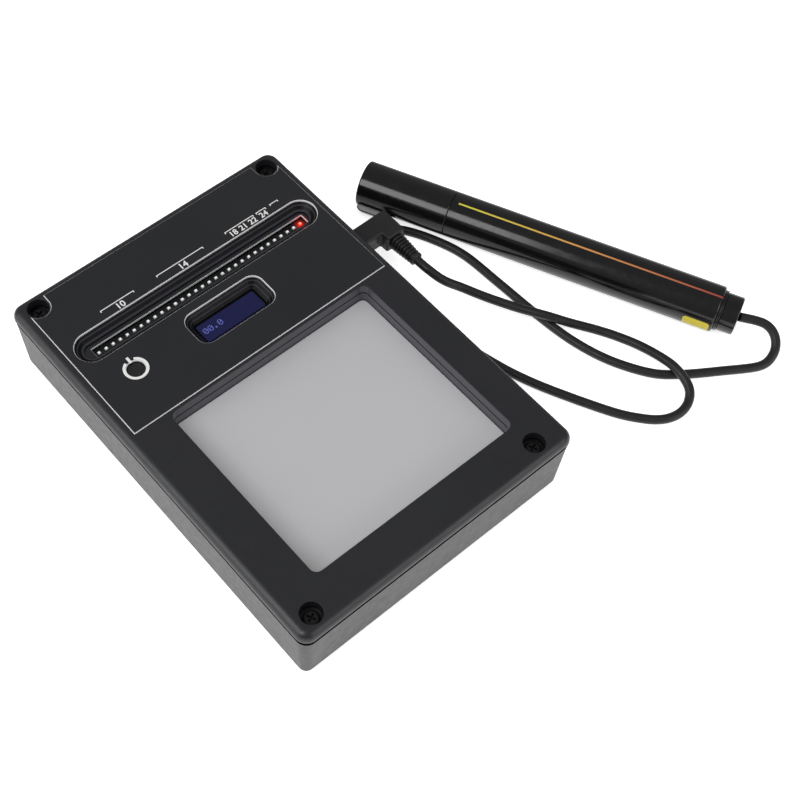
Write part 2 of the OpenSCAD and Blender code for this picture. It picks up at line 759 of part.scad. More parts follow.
module battery() color([0.2, 0.22, 0.25]) {
    slab(battery_x - battery_w / 2, battery_x + battery_w / 2, battery_y0,
        battery_y1, battery_z0, battery_z0 + battery_h, 2);
    for (x = [-stud_x, stud_x]) translate([battery_x + x, battery_y1 - eps,
        battery_z0 + battery_h / 2]) rotate([-90, 0, 0]) cylinder(d = stud_d, h = stud_l);
}

module battery_snap() color([0.1, 0.1, 0.1]) translate([battery_x, battery_y1 + snug,
    battery_z0 + battery_h / 2]) difference() {
        translate([-snap_w / 2, 0, -snap_h / 2]) cube([snap_w, stud_l + snap_t, snap_h]);
        for (x = [-stud_x, stud_x]) translate([x, -1, 0]) rotate([-90, 0, 0])
            cylinder(d = stud_d + 2 * close, h = 1 + stud_l + close);
    }

// ---- socket and plug ----

module along_socket(x) translate([x, jack_y, jack_z]) rotate([0, 90, 0]) children();

module probe_socket() color([0.1, 0.1, 0.1]) difference() {
    union() {
        translate([socket_x0, jack_y - 4, z_main]) cube([socket_x1 - socket_x0, 8, 6]);
        along_socket(socket_x1 - 1)
            cylinder(d = bush_d, h = rim_w / 2 - wall_lean - 0.8 - socket_x1 + 1);
    }
    along_socket(plug_x0 - pin_l - 0.8) cylinder(d = pin_d + 2 * close, h = 30);
}

module plug_moulding() color([0.09, 0.09, 0.1]) difference() {
    union() {
        along_socket(plug_x0) linear_extrude(plug_x1 - plug_x0)
            rounded(plug_s, plug_s, 1.1);
        translate([elbow_x, jack_y + plug_s / 2, jack_z]) rotate([90, 0, 0])
            linear_extrude(jack_y + plug_s / 2 - relief_y) rounded(plug_s, plug_s, 1.1);
        translate([elbow_x, relief_y, jack_z]) rotate([90, 0, 0]) strain_relief();
    }
    along_socket(plug_x0 - 1) cylinder(d = pin_d + 1.6 + 2 * snug, h = pin_seat_l + 1);
}

// A tapered sleeve with a bead at its end and a ring of ribs, its z along the lead
module strain_relief() {
    pitch = (relief_l - 2) / relief_ribs;
    core = 0.7;
    cylinder(d1 = relief_d0 - core, d2 = relief_d1 - core, h = relief_l - 1);
    for (k = [0:relief_ribs - 1]) {
        d = relief_d0 + (relief_d1 - relief_d0) * k / (relief_ribs - 1);
        translate([0, 0, 0.3 + k * pitch]) cylinder(d = d, h = pitch * 0.55);
    }
    translate([0, 0, relief_l - 1.7]) cylinder(d = relief_d1, h = 1.2);
    translate([0, 0, relief_l - 0.5]) cylinder(d1 = relief_d1, d2 = cord_d + 0.6, h = 0.5);
}

// Tip, two insulating grooves and sleeve of the three-pole pin, and its seat
module plug_pin() color([0.85, 0.8, 0.6]) along_socket(plug_x0) rotate_extrude()
    polygon([[0, -pin_l], [0.5, -pin_l], [pin_d / 2 - 0.2, -pin_l + 1.6],
        [pin_d / 2 - 0.6, -pin_l + 2.8], [pin_d / 2, -pin_l + 4], [pin_d / 2, -pin_l + 5],
        [pin_d / 2 - 0.15, -pin_l + 5], [pin_d / 2 - 0.15, -pin_l + 5.6],
        [pin_d / 2, -pin_l + 5.6], [pin_d / 2, -pin_l + 8],
        [pin_d / 2 - 0.15, -pin_l + 8], [pin_d / 2 - 0.15, -pin_l + 8.6],
        [pin_d / 2, -pin_l + 8.6], [pin_d / 2, 0], [pin_d / 2 + 0.8, 0],
        [pin_d / 2 + 0.8, pin_seat_l], [0, pin_seat_l]]);

// ---- lead ----

// A smooth curve through the route: the point a share u along the span after point i
function spline(p, i, u) = let (
    a = p[max(i - 1, 0)], b = p[i], c = p[i + 1], d = p[min(i + 2, len(p) - 1)])
    0.5 * (2 * b + (c - a) * u + (2 * a - 5 * b + 4 * c - d) * u * u
        + (3 * b - a - 3 * c + d) * u * u * u);

function unit(v) = v / norm(v);

// Two rings to a span, none lower than the table; the end rings lie square to the
// relief and to the tail
cord_line = concat([for (i = [0:len(cord_route) - 2], u = [0, 0.5])
    let (p = spline(cord_route, i, u)) [p[0], p[1], max(lie, p[2])]], [pen_end]);
cord_last = len(cord_line) - 1;

function cord_way(k) = k == 0 ? [0, -1, 0]
    : k == cord_last ? [cos(pen_turn), sin(pen_turn), 0]
    : unit(cord_line[k + 1] - cord_line[k - 1]);

function cord_ring(k) = let (t = cord_way(k), side = unit(cross(t, [0, 0, 1])),
    up = cross(side, t)) [for (s = [0:cord_sides - 1]) let (a = 360 * (s + 0.5) / cord_sides)
        cord_line[k] + lie * (side * cos(a) + up * sin(a))];

module cord() color([0.1, 0.1, 0.1]) polyhedron(
    points = [for (k = [0:cord_last]) each cord_ring(k)],
    faces = concat(
        [[for (s = [0:cord_sides - 1]) s]],
        [for (k = [0:cord_last - 1], s = [0:cord_sides - 1]) let (
            n = (s + 1) % cord_sides, a = k * cord_sides) each [
                [a + s, a + cord_sides + s, a + cord_sides + n],
                [a + s, a + cord_sides + n, a + n]]],
        [[for (s = [cord_sides - 1:-1:0]) cord_last * cord_sides + s]]));

// ---- probe ----

module along_pen(z) translate([pen_x, pen_y, pen_r]) rotate([0, 0, pen_turn])
    rotate([0, 90, 0]) translate([0, 0, z]) children();

module pen_cap() color([0.07, 0.07, 0.08]) along_pen(0) difference() {
    union() {
        rotate_extrude() polygon([[0, 0], [pen_r - 0.5, 0], [pen_r, 0.5], [pen_r, cap_l],
            [0, cap_l]]);
        rotate([0, 0, clip_down - 90]) cap_clip();
    }
    translate([0, 0, cap_end_t]) cylinder(r = bore_r, h = cap_l);
}

// The clip springs from a root near the closed end and ends in a small lift
module cap_clip() {
    gap = 0.5;
    out = pen_r + clip_h;
    difference() {
        translate([pen_r - 1, -clip_w / 2, 1]) cube([clip_h + 1, clip_w, clip_l]);
        translate([pen_r, -clip_w, 5]) cube([gap, clip_w * 2, clip_l + 1]);
        translate([pen_r - 2, -clip_w, 5]) cube([2 + eps, clip_w * 2, clip_l + 1]);
        translate([out, 0, 1]) rotate([0, 35, 0]) translate([-1, -clip_w, -2])
            cube([3, clip_w * 2, 2]);
    }
}

module pen_barrel() color([0.07, 0.07, 0.08]) along_pen(0) rotate_extrude()
    polygon([[bore_r, seam_z + 0.15], [pen_r, seam_z + 0.15], [pen_r, barrel_z1 - 1],
        [pen_r - 0.9, barrel_z1], [bore_r, barrel_z1]]);

// The nose is pushed into the barrel; its shoulder carries the cap
module pen_nose() color([0.3, 0.3, 0.32]) along_pen(0) difference() {
    rotate_extrude() polygon([[0, nose_z0], [tip_d / 2 + 1, nose_z0],
        [tip_d / 2 + 2.2, nose_z0 + 5], [bore_r - 0.7, grip_z0], [bore_r - close, grip_z0 + 0.6],
        [bore_r - close, seam_z + 0.15], [bore_r - snug, seam_z + 0.15],
        [bore_r - snug, reservoir_z0 - 1.5], [0, reservoir_z0 - 1.5]]);
    translate([0, 0, nose_z0 - 1]) cylinder(d = tip_d + 2 * snug, h = 12);
    translate([0, 0, nose_z0 + 11 - eps]) cylinder(d = 2.6 + 2 * snug, h = reservoir_z0);
}

module felt_tip() color([0.9, 0.88, 0.8]) along_pen(0) {
    translate([0, 0, nose_z0 - 4]) cylinder(d1 = tip_d - 2, d2 = tip_d, h = 1.4);
    difference() {
        translate([0, 0, nose_z0 - 2.6]) cylinder(d = tip_d, h = 13.2);
        translate([0, 0, nose_z0 + 2]) cylinder(d = 1.2 + 2 * snug, h = 20);
    }
}

module gel_tube() color([0.8, 0.8, 0.75]) along_pen(0) difference() {
    union() {
        translate([0, 0, reservoir_z0]) cylinder(r = bore_r - loose, h = reservoir_z1 - reservoir_z0);
        translate([0, 0, nose_z0 + 11.2]) cylinder(d = 2.6, h = reservoir_z0 - nose_z0 - 11.1);
    }
    translate([0, 0, nose_z0]) cylinder(d = 1.2 + 2 * snug, h = pen_l);
}

module electrode() color([0.8, 0.8, 0.82]) along_pen(nose_z0 + 2.4)
    cylinder(d = 1.2, h = reservoir_z1 - nose_z0);

// A grooved ring clamped between the barrel and the tail
module pen_ring() color([0.6, 0.6, 0.62]) along_pen(0) rotate_extrude()
    polygon([[neck_r, barrel_z1 + snug], [pen_r - 1, barrel_z1 + snug],
        [pen_r - 1, barrel_z1 + 0.45], [pen_r - 1.3, barrel_z1 + 0.5],
        [pen_r - 1.3, barrel_z1 + 0.75], [pen_r - 1, barrel_z1 + 0.8],
        [pen_r - 1, barrel_z1 + ring_t - snug], [neck_r, barrel_z1 + ring_t - snug]]);

module pen_tail() color([0.08, 0.08, 0.09]) along_pen(0) difference() {
    rotate_extrude() polygon([[0, barrel_z1 - tail_in], [bore_r - snug, barrel_z1 - tail_in],
        [bore_r - snug, barrel_z1], [neck_r - snug, barrel_z1],
        [neck_r - snug, barrel_z1 + ring_t], [tail_d / 2, barrel_z1 + ring_t],
        [tail_d / 2, pen_l - 0.5], [tail_d / 2 - 0.5, pen_l], [0, pen_l]]);
    translate([0, 0, barrel_z1 - tail_in - 1])
        cylinder(d = cord_d * 0.7, h = tail_in + 6);
}

to_middle() base_shell();
to_middle() lid();
to_middle() lid_screws();
to_middle() rubber_feet();
to_middle() battery_door();
to_middle() battery();
to_middle() battery_snap();
to_middle() test_plate();
to_middle() plate_contact();
to_middle() faced_panel();
to_middle() slot_strip();
to_middle() front_board();
to_middle() lamps();
to_middle() display_glass();
to_middle() tact_switch();
to_middle() switch_plunger();
to_middle() start_button();
to_middle() front_board_screws();
to_middle() board_link();
to_middle() main_board();
to_middle() board_parts();
to_middle() main_board_screws();
to_middle() probe_socket();
to_middle() plug_moulding();
to_middle() plug_pin();
to_middle() cord();
to_middle() pen_tail();
to_middle() pen_ring();
to_middle() pen_barrel();
to_middle() pen_nose();
to_middle() felt_tip();
to_middle() gel_tube();
to_middle() electrode();
to_middle() pen_cap();
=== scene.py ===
import math

import bmesh
import bpy
from mathutils import Matrix, Vector


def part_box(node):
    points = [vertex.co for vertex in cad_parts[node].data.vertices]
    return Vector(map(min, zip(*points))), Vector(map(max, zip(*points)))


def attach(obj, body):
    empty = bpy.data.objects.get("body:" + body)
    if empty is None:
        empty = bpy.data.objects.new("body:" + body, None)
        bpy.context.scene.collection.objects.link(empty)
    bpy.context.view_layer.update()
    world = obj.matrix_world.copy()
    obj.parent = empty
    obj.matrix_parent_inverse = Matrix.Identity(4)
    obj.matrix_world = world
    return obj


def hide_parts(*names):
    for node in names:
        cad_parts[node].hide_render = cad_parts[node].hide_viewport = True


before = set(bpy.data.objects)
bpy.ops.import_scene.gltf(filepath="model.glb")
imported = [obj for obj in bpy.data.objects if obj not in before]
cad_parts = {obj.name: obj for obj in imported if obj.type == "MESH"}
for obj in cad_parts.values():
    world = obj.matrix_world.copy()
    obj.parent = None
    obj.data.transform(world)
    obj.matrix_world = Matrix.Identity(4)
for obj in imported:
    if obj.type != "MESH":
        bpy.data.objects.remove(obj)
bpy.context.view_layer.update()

MM = 0.001
lid_low, lid_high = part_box("lid")
CASE_X = (lid_low.x + lid_high.x) / 2
PANEL_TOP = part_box("faced_panel")[1].z
STRIP_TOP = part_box("slot_strip")[1].z

# The lamp scale, in mm about the middle of the case. Its right-hand lamp is the lit one.
SCALE_X, SCALE_Y = 1.7, 45.2
LAMPS, LAMP_PITCH, LAMP_LOW = 31, 83 / 30, 24.3
SCALE_REACH = (LAMPS - 1) / 2 * LAMP_PITCH
LIT_AT = (SCALE_X + SCALE_REACH, SCALE_Y)


def spot(x, y, z):
    """A place given in mm about the middle of the case, over the table, in metres."""
    return Vector((CASE_X + x * MM, y * MM, z * MM))


def placed(name, data):
    """A new object with that data, in the scene."""
    made = bpy.data.objects.new(name, data)
    bpy.context.scene.collection.objects.link(made)
    return made


def settled(made, *others):
    """The plain mesh that an object's modifiers give. It then goes, and the others with it."""
    bpy.context.view_layer.update()
    graph = bpy.context.evaluated_depsgraph_get()
    mesh = bpy.data.meshes.new_from_object(made.evaluated_get(graph))
    for item in (made, *others):
        bpy.data.objects.remove(item)
    return mesh


# ---- camera, at the photograph's angle ----


def place_camera():
    """The photograph's own camera, solved from the case's screws, edges and tray corners."""
    azimuth, elevation, roll = (math.radians(a) for a in (-40.74, 57.88, 1.09))
    back = Vector((
        math.sin(azimuth) * math.cos(elevation),
        -math.cos(azimuth) * math.cos(elevation),
        math.sin(elevation),
    ))
    level = (-back).cross(Vector((0, 0, 1))).normalized()
    upright = level.cross(-back)
    right = math.cos(roll) * level + math.sin(roll) * upright
    up = -math.sin(roll) * level + math.cos(roll) * upright
    data = bpy.data.cameras.new("photo_camera")
    data.sensor_width = 36
    data.lens = 66.55
    data.shift_x = 0.1009
    data.shift_y = 0.0015
    data.clip_start = 0.01
    data.clip_end = 20
    camera = placed("photo_camera", data)
    turn = Matrix((right, up, back)).transposed().to_4x4()
    camera.matrix_world = Matrix.Translation(spot(-158.0, -200.1, 417.2)) @ turn
    bpy.context.scene.camera = camera


place_camera()


# ---- materials ----

SIDE_FADE = 0.2 * MM


def scaled(tone, share):
    """A colour made lighter or darker by one factor."""
    return [share * c for c in tone]


class Finish:
    """A material whose detail comes from its own nodes, on Object coordinates."""

    def __init__(self, name, **values):
        self.material = bpy.data.materials.new(name)
        self.material.use_nodes = True
        self.tree = self.material.node_tree
        self.shader = next(n for n in self.tree.nodes if n.type == "BSDF_PRINCIPLED")
        for socket, value in values.items():
            self.shader.inputs[socket.replace("_", " ")].default_value = value
        self.coordinates = self.node("ShaderNodeTexCoord").outputs["Object"]

    def node(self, kind, **settings):
        made = self.tree.nodes.new(kind)
        for key, value in settings.items():
            setattr(made, key, value)
        return made

    def feed(self, socket, source):
        """Links a socket to another node's output, or sets it to a plain value."""
        if hasattr(source, "is_output"):
            self.tree.links.new(source, socket)
        else:
            socket.default_value = source

    def noise(self, scale, detail=2.0, rough=0.5, stretch=(1, 1, 1)):
        where = self.node("ShaderNodeMapping")
        self.feed(where.inputs["Vector"], self.coordinates)
        where.inputs["Scale"].default_value = stretch
        made = self.node("ShaderNodeTexNoise")
        self.feed(made.inputs["Vector"], where.outputs["Vector"])
        made.inputs["Scale"].default_value = scale
        made.inputs["Detail"].default_value = detail
        made.inputs["Roughness"].default_value = rough
        return made.outputs["Fac"]

    def spread(self, source, low, high, start=0.3, end=0.7):
        """The source's span from start to end, laid over the span from low to high."""
        made = self.node("ShaderNodeMapRange")
        self.feed(made.inputs["Value"], source)
        ends = {"From Min": start, "From Max": end, "To Min": low, "To Max": high}
        for socket, value in ends.items():
            self.feed(made.inputs[socket], value)
        return made.outputs["Result"]

    def rises(self, source, start, end):
        """0 up to start, and 1 from end on."""
        return self.spread(source, 0, 1, start, end)

    def falls(self, source, start, end):
        """1 up to start, and 0 from end on."""
        return self.spread(source, 1, 0, start, end)

    def calc(self, kind, first, second=0.5):
        """One Math node; the kinds that take a single number leave the second out."""
        made = self.node("ShaderNodeMath", operation=kind)
        self.feed(made.inputs[0], first)
        self.feed(made.inputs[1], second)
        return made.outputs[0]

    def times(self, first, *others):
        """The product of them all."""
        for other in others:
            first = self.calc("MULTIPLY", first, other)
        return first

    def blend(self, share, first, second):
        """The first colour where share is 0, and the second where it is 1."""
        made = self.node("ShaderNodeMix", data_type="RGBA")
        self.feed(made.inputs[0], share)
        for index, colour in ((6, first), (7, second)):
            colour = colour if hasattr(colour, "is_output") else (*colour[:3], 1)
            self.feed(made.inputs[index], colour)
        return made.outputs[2]

    def colour(self, source):
        self.feed(self.shader.inputs["Base Color"], source)

    def rough(self, source):
        self.feed(self.shader.inputs["Roughness"], source)

    def softened_edges(self, radius):
        """The surface's normal as if its edges were rounded to a radius in mm."""
        made = self.node("ShaderNodeBevel", samples=4)
        made.inputs["Radius"].default_value = radius * MM
        return made.outputs["Normal"]

    def bump(self, height, depth, strength=1.0, normal=None):
        """Raises the surface by height, up to a depth in mm."""
        made = self.node("ShaderNodeBump")
        made.inputs["Strength"].default_value = strength
        made.inputs["Distance"].default_value = depth * MM
        self.feed(made.inputs["Height"], height)
        if normal is not None:
            self.feed(made.inputs["Normal"], normal)
        self.feed(self.shader.inputs["Normal"], made.outputs["Normal"])

    def edge_share(self, softened):
        """Nearly 0 on a flat face and towards 1 on an edge, from its softened normal."""
        plain = self.node("ShaderNodeNewGeometry").outputs["Normal"]
        made = self.node("ShaderNodeVectorMath", operation="DOT_PRODUCT")
        self.feed(made.inputs[0], plain)
        self.feed(made.inputs[1], softened)
        return self.spread(made.outputs["Value"], 1.0, 0.0, 0.85, 1.0)

    def part(self, axis):
        """One of the Object coordinates: 0, 1 or 2 for x, y or z."""
        split = self.node("ShaderNodeSeparateXYZ")
        self.feed(split.inputs[0], self.coordinates)
        return split.outputs[axis]

    def under_opening(self, low, high, fade):
        """1 below the height of high and between low and high in plan, and 0 elsewhere."""
        share = self.falls(self.part(2), high.z, high.z + fade)
        for axis in (0, 1):
            across = self.part(axis)
            share = self.times(share, self.rises(across, low[axis], low[axis] + SIDE_FADE))
            share = self.times(share, self.falls(across, high[axis], high[axis] + SIDE_FADE))
        return share


def groove_shade(finish, tone, start):
    """Painted shade: blackens a moulding above the height start, in mm, and dulls its sheen, as
    shade falls in the groove under the lid.
    """
    shade = finish.rises(finish.part(2), start * MM, (start + 0.1) * MM)
    sheen = finish.spread(shade, 0.36, 0, 0, 1)
    finish.feed(finish.shader.inputs["Specular IOR Level"], sheen)
    return finish.blend(shade, tone, (0.002, 0.002, 0.002))


# The lid's openings in plan, each as two corners, and the heights where its painted shade and light
# change, all in mm.
WELLS, WELLS_TOP = ((-50, 17), (50, 60)), 29.2
TRAY, TRAY_TOP = ((-41.5, -62.5), (41.5, 12.5)), 29.0
STEP_HIGHLIGHT_HEIGHTS = (28.3, 27.2, 26.1)
RIM_LOW, RIM_HIGH = 25.7, 26.1


def painted_lid_light_and_shade(finish, tone, dark, light):
    """Painted shade in the wells and on the edge over the groove, painted highlights at the wells'
    cutter steps, and painted light on the tray.
    """
    height = finish.part(2)
    # Painted shade: the wells are darkened, as shade falls in them.
    shaded_wells = finish.under_opening(spot(*WELLS[0], 0), spot(*WELLS[1], WELLS_TOP), 0.2 * MM)
    tone = finish.blend(shaded_wells, tone, scaled(dark, 0.35))
    # Painted highlights: pale lines in the wells at the heights of the cutter steps.
    for step in STEP_HIGHLIGHT_HEIGHTS:
        off = finish.calc("ABSOLUTE", finish.calc("SUBTRACT", height, step * MM))
        line = finish.times(shaded_wells, finish.falls(off, 0.08 * MM, 0.2 * MM))
        tone = finish.blend(line, tone, scaled(light, 2.2))
    # Painted light: the tray's walls are made paler.
    lit_tray = finish.under_opening(spot(*TRAY[0], 0), spot(*TRAY[1], TRAY_TOP), 0.4 * MM)
    tone = finish.blend(lit_tray, tone, (0.075, 0.076, 0.088))
    # Painted shade: the lid's lowest edge is blackened over the groove.
    rim = finish.times(
        finish.falls(height, RIM_HIGH * MM, (RIM_HIGH + 0.2) * MM),
        finish.rises(height, RIM_LOW * MM, (RIM_LOW + 0.05) * MM),
    )
    tone = finish.blend(rim, tone, (0.001, 0.001, 0.001))
    # The painted shade also dulls the sheen: less in the wells, none on the edge over the groove.
    sheen = finish.times(finish.spread(shaded_wells, 0.5, 0.12, 0, 1), finish.falls(rim, 0, 1))
    finish.feed(finish.shader.inputs["Specular IOR Level"], sheen)
    return tone


def moulded_plastic(name, dark, light, rough=0.36, soft=0.25, painted_shade_from=None, painted_lid_light=False):
    """Case plastic: a fine spark-eroded grain, uneven sheen and rubbed edges.

    Where a height in mm is given, painted shade makes it black above it, as in the groove under the
    lid.
    For the lid, it has the lid's painted shade and light.
    """
    finish = Finish(name, Roughness=rough)
    edges = finish.softened_edges(soft)
    tone = finish.blend(finish.spread(finish.noise(25, 3), 0, 1), dark, light)
    specks = finish.spread(finish.noise(900, 2), 0, 0.25, 0.5, 0.8)
    tone = finish.blend(specks, tone, scaled(light, 1.6))
    rubbed = finish.times(finish.edge_share(edges), finish.noise(220, 3), 0.6)
    tone = finish.blend(rubbed, tone, scaled(light, 2.2))
    # Painted shade: black above the given height.
    if painted_shade_from:
        tone = groove_shade(finish, tone, painted_shade_from)
    # The lid's painted shade and light.
    if painted_lid_light:
        tone = painted_lid_light_and_shade(finish, tone, dark, light)
    finish.colour(tone)
    finish.rough(finish.spread(finish.noise(400, 3), rough - 0.03, rough + 0.05))
    finish.bump(finish.noise(1500, 2, 0.6), 0.008, normal=edges)
    return finish.material


def painted_lamp_halo(finish):
    """Painted light: the surface itself glows faintly red close round the one lit lamp."""
    centre = spot(*LIT_AT, 0)
    squares = []
    for axis in (0, 1):
        off = finish.calc("SUBTRACT", finish.part(axis), centre[axis])
        squares.append(finish.times(off, off))
    distance = finish.calc("SQRT", finish.calc("ADD", *squares))
    near = finish.falls(distance, 0.4 * MM, 2.8 * MM)
    finish.shader.inputs["Emission Color"].default_value = (1, 0.025, 0.015, 1)
    finish.feed(finish.shader.inputs["Emission Strength"], finish.times(near, near, 0.55))


def faced_laminate(name, top, skin):
    """Two-layer engraving laminate: a black satin face, skin thick in mm, on a white core."""
    finish = Finish(name, Roughness=0.36)
    face = finish.rises(finish.part(2), top - (skin + 0.02) * MM, top - skin * MM)
    cloud = finish.spread(finish.noise(30, 3), 0, 1)
    black = finish.blend(cloud, (0.0105, 0.011, 0.0135), (0.0125, 0.013, 0.016))
    core = finish.blend(finish.noise(700, 3), (0.55, 0.55, 0.56), (0.66, 0.66, 0.67))
    # Painted light: the red glow close round the lit lamp.
    painted_lamp_halo(finish)
    finish.colour(finish.blend(face, core, black))
    finish.rough(finish.spread(finish.noise(500, 3), 0.33, 0.42))
    finish.bump(finish.noise(2600, 2, 0.6), 0.006)
    return finish.material


def satin_plate(name):
    """A fine blasted metal face: an even grey with a close, shallow grain."""
    finish = Finish(name, Metallic=0.1, Roughness=0.55)
    grain = finish.noise(1600, 2, 0.7)
    cloud = finish.spread(finish.noise(12, 2), 0, 1)
    tone = finish.blend(cloud, (0.46, 0.46, 0.47), (0.495, 0.495, 0.505))
    finish.colour(finish.blend(finish.spread(grain, 0, 0.3), tone, (0.42, 0.42, 0.43)))
    finish.rough(finish.spread(grain, 0.5, 0.62))
    finish.bump(grain, 0.012, 0.5)
    return finish.material


def gloss_black(finish):
    """A deep gloss black with a faint haze."""
    haze = finish.spread(finish.noise(180, 4), 0, 1)
    finish.rough(finish.spread(finish.noise(700, 3), 0.11, 0.19))
    black = (0.0035, 0.0035, 0.004)
    return finish.blend(haze, black, scaled(black, 1.6))


def gloss_plastic(name):
    """The probe's polished plastic, with the slight waves of a moulded surface."""
    finish = Finish(name, Roughness=0.14)
    finish.colour(gloss_black(finish))
    finish.bump(finish.noise(40, 2), 0.03, 0.15)
    return finish.material


def rubber(name, dark, rough, grain=1200):
    """Soft black rubber, a coated jacket or a dull moulded part."""
    finish = Finish(name, Roughness=rough, Specular_IOR_Level=0.4)
    finish.colour(finish.blend(finish.noise(130, 3), dark, scaled(dark, 1.7)))
    finish.rough(finish.spread(finish.noise(300, 3), rough - 0.06, rough + 0.1))
    finish.bump(finish.noise(grain, 3, 0.6), 0.015)
    return finish.material


def worn_metal(name, tone, rough, brushed=(1, 1, 1), metallic=1.0):
    """Bare or coated metal with fine streaks, along one way where it is brushed."""
    finish = Finish(name, Metallic=metallic, Roughness=rough)
    streaks = finish.noise(500, 4, 0.6, brushed)
    finish.colour(finish.blend(streaks, scaled(tone, 0.75), tone))
    finish.rough(finish.spread(streaks, rough - 0.08, rough + 0.12))
    finish.bump(streaks, 0.006)
    return finish.material


def circuit_board(name):
    """Black solder mask over a coarse pattern of copper runs."""
    finish = Finish(name, Roughness=0.4)
    runs = finish.node("ShaderNodeTexBrick")
    finish.feed(runs.inputs["Vector"], finish.coordinates)
    runs.inputs["Scale"].default_value = 160
    runs.inputs["Mortar Size"].default_value = 0.06
    runs.inputs["Color1"].default_value = (0.004, 0.0045, 0.005, 1)
    runs.inputs["Color2"].default_value = (0.005, 0.0055, 0.006, 1)
    runs.inputs["Mortar"].default_value = (0.011, 0.012, 0.013, 1)
    finish.colour(runs.outputs["Color"])
    # Painted light: the red glow close round the lit lamp.
    painted_lamp_halo(finish)
    finish.rough(finish.spread(finish.noise(300, 3), 0.3, 0.45))
    finish.bump(runs.outputs["Fac"], 0.03, 0.4)
    return finish.material


def display_filter(name):
    """The lit, dark blue window of the display."""
    finish = Finish(name, Roughness=0.12, Emission_Strength=1.0)
    glow = finish.spread(finish.noise(30, 2), 0, 1)
    finish.feed(
        finish.shader.inputs["Emission Color"],
        finish.blend(glow, (0.0006, 0.001, 0.028), (0.001, 0.0016, 0.04)),
    )
    finish.colour(finish.blend(glow, (0.002, 0.0025, 0.015), (0.003, 0.004, 0.02)))
    finish.rough(finish.spread(finish.noise(250, 3), 0.1, 0.2))
    return finish.material


def glowing(name, tone, strength):
    """A surface that gives its own light, a little unevenly."""
    finish = Finish(name, Roughness=0.4, Emission_Strength=strength)
    cloud = finish.noise(900, 2)
    source = finish.blend(cloud, tone, scaled(tone, 0.8))
    finish.colour(source)
    finish.feed(finish.shader.inputs["Emission Color"], source)
    return finish.material


def felt(name, tone):
    """A dull, fibrous surface."""
    finish = Finish(name, Roughness=0.95, Sheen_Weight=0.4)
    fibres = finish.noise(1500, 6, 0.7, (1, 1, 0.4))
    finish.colour(finish.blend(fibres, scaled(tone, 0.6), tone))
    finish.bump(fibres, 0.08)
    return finish.material


# The lid carries painted shade in its wells and over the groove, and painted light on its tray.
CASE = moulded_plastic(
    "case_plastic", (0.0115, 0.0118, 0.0145), (0.014, 0.0143, 0.0175), painted_lid_light=True
)
# The base carries painted shade, black above 24 mm, under the lid's edge.
BASE = moulded_plastic(
    "base_plastic", (0.026, 0.0256, 0.0256), (0.032, 0.0316, 0.0316), 0.4, painted_shade_from=24.0
)
LAMINATE = faced_laminate("faced_laminate", PANEL_TOP, 0.05)
STRIP = faced_laminate("slot_laminate", STRIP_TOP, 0.03)
BUTTON = moulded_plastic(
    "button_plastic", (0.008, 0.008, 0.009), (0.012, 0.012, 0.013), 0.35, soft=0.15
)
PLATE = satin_plate("plate_metal")
INK = felt("white_fill", (0.9, 0.9, 0.89))
LAMP_BODY = rubber("lamp_body", (0.3, 0.3, 0.29), 0.5)
# Painted light: the unlit lamps' lenses give a faint white light of their own.
PAINTED_GLOW_LENS = glowing("lamp_lens", (0.95, 0.95, 0.93), 0.12)
LAMP_RED = glowing("lamp_red", (1.0, 0.075, 0.045), 6.0)
LAMP_HOT = glowing("lamp_hot", (1.0, 0.018, 0.012), 1.2)
BOARD = circuit_board("circuit_board")
PARTS = rubber("component_plastic", (0.012, 0.012, 0.013), 0.45)
CAN = worn_metal("battery_can", (0.1, 0.11, 0.13), 0.4, metallic=0.6)
ZINC = worn_metal("screw_zinc", (0.6, 0.6, 0.6), 0.3)
BLACK_SCREW = worn_metal("screw_black", (0.0025, 0.0025, 0.003), 0.6, metallic=0.0)
RING = worn_metal("ring_black", (0.02, 0.02, 0.022), 0.22, metallic=0.3)
SPRING = worn_metal("spring_metal", (0.75, 0.6, 0.3), 0.3)
NICKEL = worn_metal("pin_metal", (0.8, 0.79, 0.76), 0.18, (8, 1, 1))
FOOT = rubber("foot_rubber", (0.014, 0.014, 0.014), 0.7)
JACKET = rubber("cord_jacket", (0.0095, 0.0095, 0.01), 0.42)
PLUG = rubber("plug_rubber", (0.011, 0.011, 0.012), 0.42, 900)
GLOSS = gloss_plastic("probe_gloss")
GRIP = moulded_plastic("probe_grey", (0.2, 0.2, 0.21), (0.26, 0.26, 0.28), 0.5)
FELT = felt("felt_tip", (0.75, 0.72, 0.62))
STICKER = rubber("yellow_sticker", (0.55, 0.46, 0.03), 0.45)


# ---- shapes ----


def flat_regions(whole):
    """The number of each face's flat region, and each region's normal times its area."""
    parallel = math.cos(math.radians(0.6))
    region, ways = {}, []
    for face in sorted(whole.faces, key=lambda f: -f.calc_area()):
        if face in region:
            continue
        region[face] = len(ways)
        stack, way = [face], Vector()
        while stack:
            here = stack.pop()
            way += here.normal * here.calc_area()
            for edge in here.edges:
                for other in edge.link_faces:
                    if other not in region and other.normal.dot(face.normal) > parallel:
                        region[other] = len(ways)
                        stack.append(other)
        ways.append(way)
    return region, ways


def fan_about(vert, left):
    """The faces round a vertex that smooth edges join to one taken from those left."""
    stack = [left.pop()]
    fan = list(stack)
    while stack:
        for edge in stack.pop().edges:
            if edge.smooth and vert in edge.verts:
                for other in edge.link_faces:
                    if other in left:
                        left.discard(other)
                        stack.append(other)
                        fan.append(other)
    return fan


